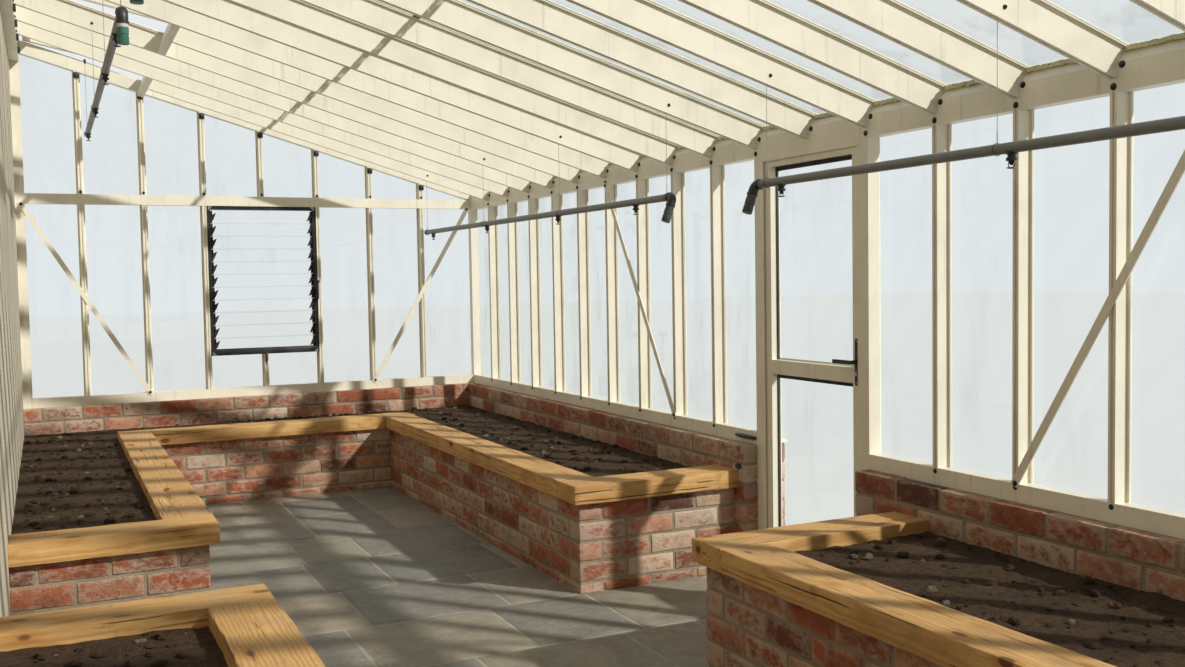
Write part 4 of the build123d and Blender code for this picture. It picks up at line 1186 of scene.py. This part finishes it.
class GREENHOUSE_OT_stage(bpy.types.Operator):
    """Set the floor, the lamps, the world and the camera"""

    bl_idname = "greenhouse.stage"
    bl_label = "Set the stage"

    def execute(self, context):
        look = context.scene.greenhouse_stage
        reach, level = 60.0, -0.001
        corners = [(x * reach, y * reach, level) for x, y in ((-1, -1), (1, -1), (1, 1), (-1, 1))]
        mesh = bpy.data.meshes.new("studio_floor")
        mesh.from_pydata(corners, [], [(0, 1, 2, 3)])
        mesh.materials.append(finish_stage("studio_floor", look.ground))
        show("studio_floor", mesh)
        context.scene.view_settings.view_transform = "Standard"
        context.scene.world = bpy.data.worlds.new("studio_world")
        light_world(context.scene.world, look.sky)
        lamp = bpy.data.lights.new("key_lamp", "SUN")
        lamp.energy = look.sun
        lamp.angle = math.radians(1.6)
        lamp.color = (1.0, 0.975, 0.93)
        towards = at(0.913, -1.108, 1.0)
        show("key_lamp", lamp).rotation_euler = towards.to_track_quat("Z", "Y").to_euler()
        eye = bpy.data.cameras.new("camera")
        eye.lens = look.lens
        eye.sensor_width = 36.0
        eye.clip_start = 0.02
        eye.clip_end = 200.0
        context.scene.camera = show("camera", eye)
        context.scene.camera.matrix_world = camera_matrix(look)
        return {"FINISHED"}


class GREENHOUSE_OT_finishes(bpy.types.Operator):
    """Make the finishes and give every frame piece its own"""

    bl_idname = "greenhouse.finishes"
    bl_label = "Finish the frame"

    def execute(self, context):
        scene = context.scene
        mix_finishes(
            scene.greenhouse_frame, scene.greenhouse_ground, scene.greenhouse_bricks, scene.greenhouse_timber
        )
        special = {"floor_slab": "grout", "louvre_blades": "blade_glass"}
        special |= dict.fromkeys(("gable_walls", "front_walls", "side_bed_walls", "end_bed_walls"), "mortar")
        special |= dict.fromkeys(("roof_glass_lower", "roof_glass_upper", "vent_glass"), "roof_glass")
        for part in frame["record"]["subparts"]:
            node = part["node"]
            materials = frame["nodes"][node].data.materials
            finish = finishes[special.get(node, part["material_slot"])]
            if not materials:
                materials.append(finish)
            for place in range(len(materials)):
                materials[place] = finish
        return {"FINISHED"}


class GREENHOUSE_OT_bricks(bpy.types.Operator):
    """Lay the bricks of the dwarf walls and the raised beds"""

    bl_idname = "greenhouse.bricks"
    bl_label = "Lay the bricks"

    def execute(self, context):
        lay_walls(context.scene.greenhouse_bricks)
        return {"FINISHED"}


class GREENHOUSE_OT_flags(bpy.types.Operator):
    """Lay the slate flags of the path"""

    bl_idname = "greenhouse.flags"
    bl_label = "Lay the flags"

    def execute(self, context):
        lay_flags(context.scene.greenhouse_ground)
        return {"FINISHED"}


class GREENHOUSE_OT_timbers(bpy.types.Operator):
    """Cut the timber copings of the raised beds"""

    bl_idname = "greenhouse.timbers"
    bl_label = "Cut the timbers"

    def execute(self, context):
        cut_timbers(context.scene.greenhouse_timber)
        return {"FINISHED"}


class GREENHOUSE_OT_soil(bpy.types.Operator):
    """Fill the raised beds with loose soil"""

    bl_idname = "greenhouse.soil"
    bl_label = "Fill the beds"

    def execute(self, context):
        fill_beds(context.scene.greenhouse_ground)
        return {"FINISHED"}


class GREENHOUSE_OT_bolts(bpy.types.Operator):
    """Fit the black bolts and cleats of the frame, and the black blocks of painted shade at the rafter heads
    """

    bl_idname = "greenhouse.bolts"
    bl_label = "Fit the bolts"

    def execute(self, context):
        fit_bolts(context.scene.greenhouse_frame)
        return {"FINISHED"}


class GREENHOUSE_OT_seals(bpy.types.Operator):
    """Lay the foam strips at the eaves"""

    bl_idname = "greenhouse.seals"
    bl_label = "Seal the eaves"

    def execute(self, context):
        seal_eaves()
        return {"FINISHED"}


class GREENHOUSE_OT_spray_lines(bpy.types.Operator):
    """Lay the spray pipes, fit their heads and hang them on their wires"""

    bl_idname = "greenhouse.spray_lines"
    bl_label = "Hang the spray lines"

    def execute(self, context):
        lay_pipes()
        fit_heads()
        hang_pipes(context.scene.greenhouse_frame.wire)
        return {"FINISHED"}


class GREENHOUSE_OT_louvres(bpy.types.Operator):
    """Fit the small parts of the louvre windows"""

    bl_idname = "greenhouse.louvres"
    bl_label = "Fit the louvres"

    def execute(self, context):
        fit_louvres()
        return {"FINISHED"}


class GREENHOUSE_OT_door(bpy.types.Operator):
    """Fit the screws, the lock and the gasket of the door"""

    bl_idname = "greenhouse.door"
    bl_label = "Fit the door"

    def execute(self, context):
        fit_door()
        return {"FINISHED"}


class GREENHOUSE_PT_panel(bpy.types.Panel):
    """Sizes, colours and steps of the greenhouse"""

    bl_label = "Greenhouse"
    bl_space_type = "VIEW_3D"
    bl_region_type = "UI"
    bl_category = "Greenhouse"

    def draw(self, context):
        for holder in holders:
            box = self.layout.box()
            box.label(text=holder.replace("greenhouse_", "").capitalize())
            group = getattr(context.scene, holder)
            for key in group.__annotations__:
                box.prop(group, key)
        for step in steps:
            self.layout.operator(step.bl_idname)


holders = {
    "greenhouse_stage": StageSettings,
    "greenhouse_bricks": BrickSettings,
    "greenhouse_ground": GroundSettings,
    "greenhouse_timber": TimberSettings,
    "greenhouse_frame": FrameSettings,
}
steps = (
    GREENHOUSE_OT_stage,
    GREENHOUSE_OT_finishes,
    GREENHOUSE_OT_bricks,
    GREENHOUSE_OT_flags,
    GREENHOUSE_OT_timbers,
    GREENHOUSE_OT_soil,
    GREENHOUSE_OT_bolts,
    GREENHOUSE_OT_seals,
    GREENHOUSE_OT_spray_lines,
    GREENHOUSE_OT_louvres,
    GREENHOUSE_OT_door,
)


def register():
    """Register the settings, the steps and the panel."""
    for kind in (*holders.values(), *steps, GREENHOUSE_PT_panel):
        bpy.utils.register_class(kind)
    for holder, kind in holders.items():
        setattr(bpy.types.Scene, holder, PointerProperty(type=kind))


def unregister():
    """Take the settings, the steps and the panel away again."""
    for holder in holders:
        delattr(bpy.types.Scene, holder)
    for kind in (GREENHOUSE_PT_panel, *reversed(steps), *holders.values()):
        bpy.utils.unregister_class(kind)


def main():
    """Make every piece in order."""
    register()
    bpy.ops.greenhouse.stage()
    bpy.ops.greenhouse.finishes()
    bpy.ops.greenhouse.bricks()
    bpy.ops.greenhouse.flags()
    bpy.ops.greenhouse.timbers()
    bpy.ops.greenhouse.soil()
    bpy.ops.greenhouse.bolts()
    bpy.ops.greenhouse.seals()
    bpy.ops.greenhouse.spray_lines()
    bpy.ops.greenhouse.louvres()
    bpy.ops.greenhouse.door()


if __name__ == "__main__":
    main()
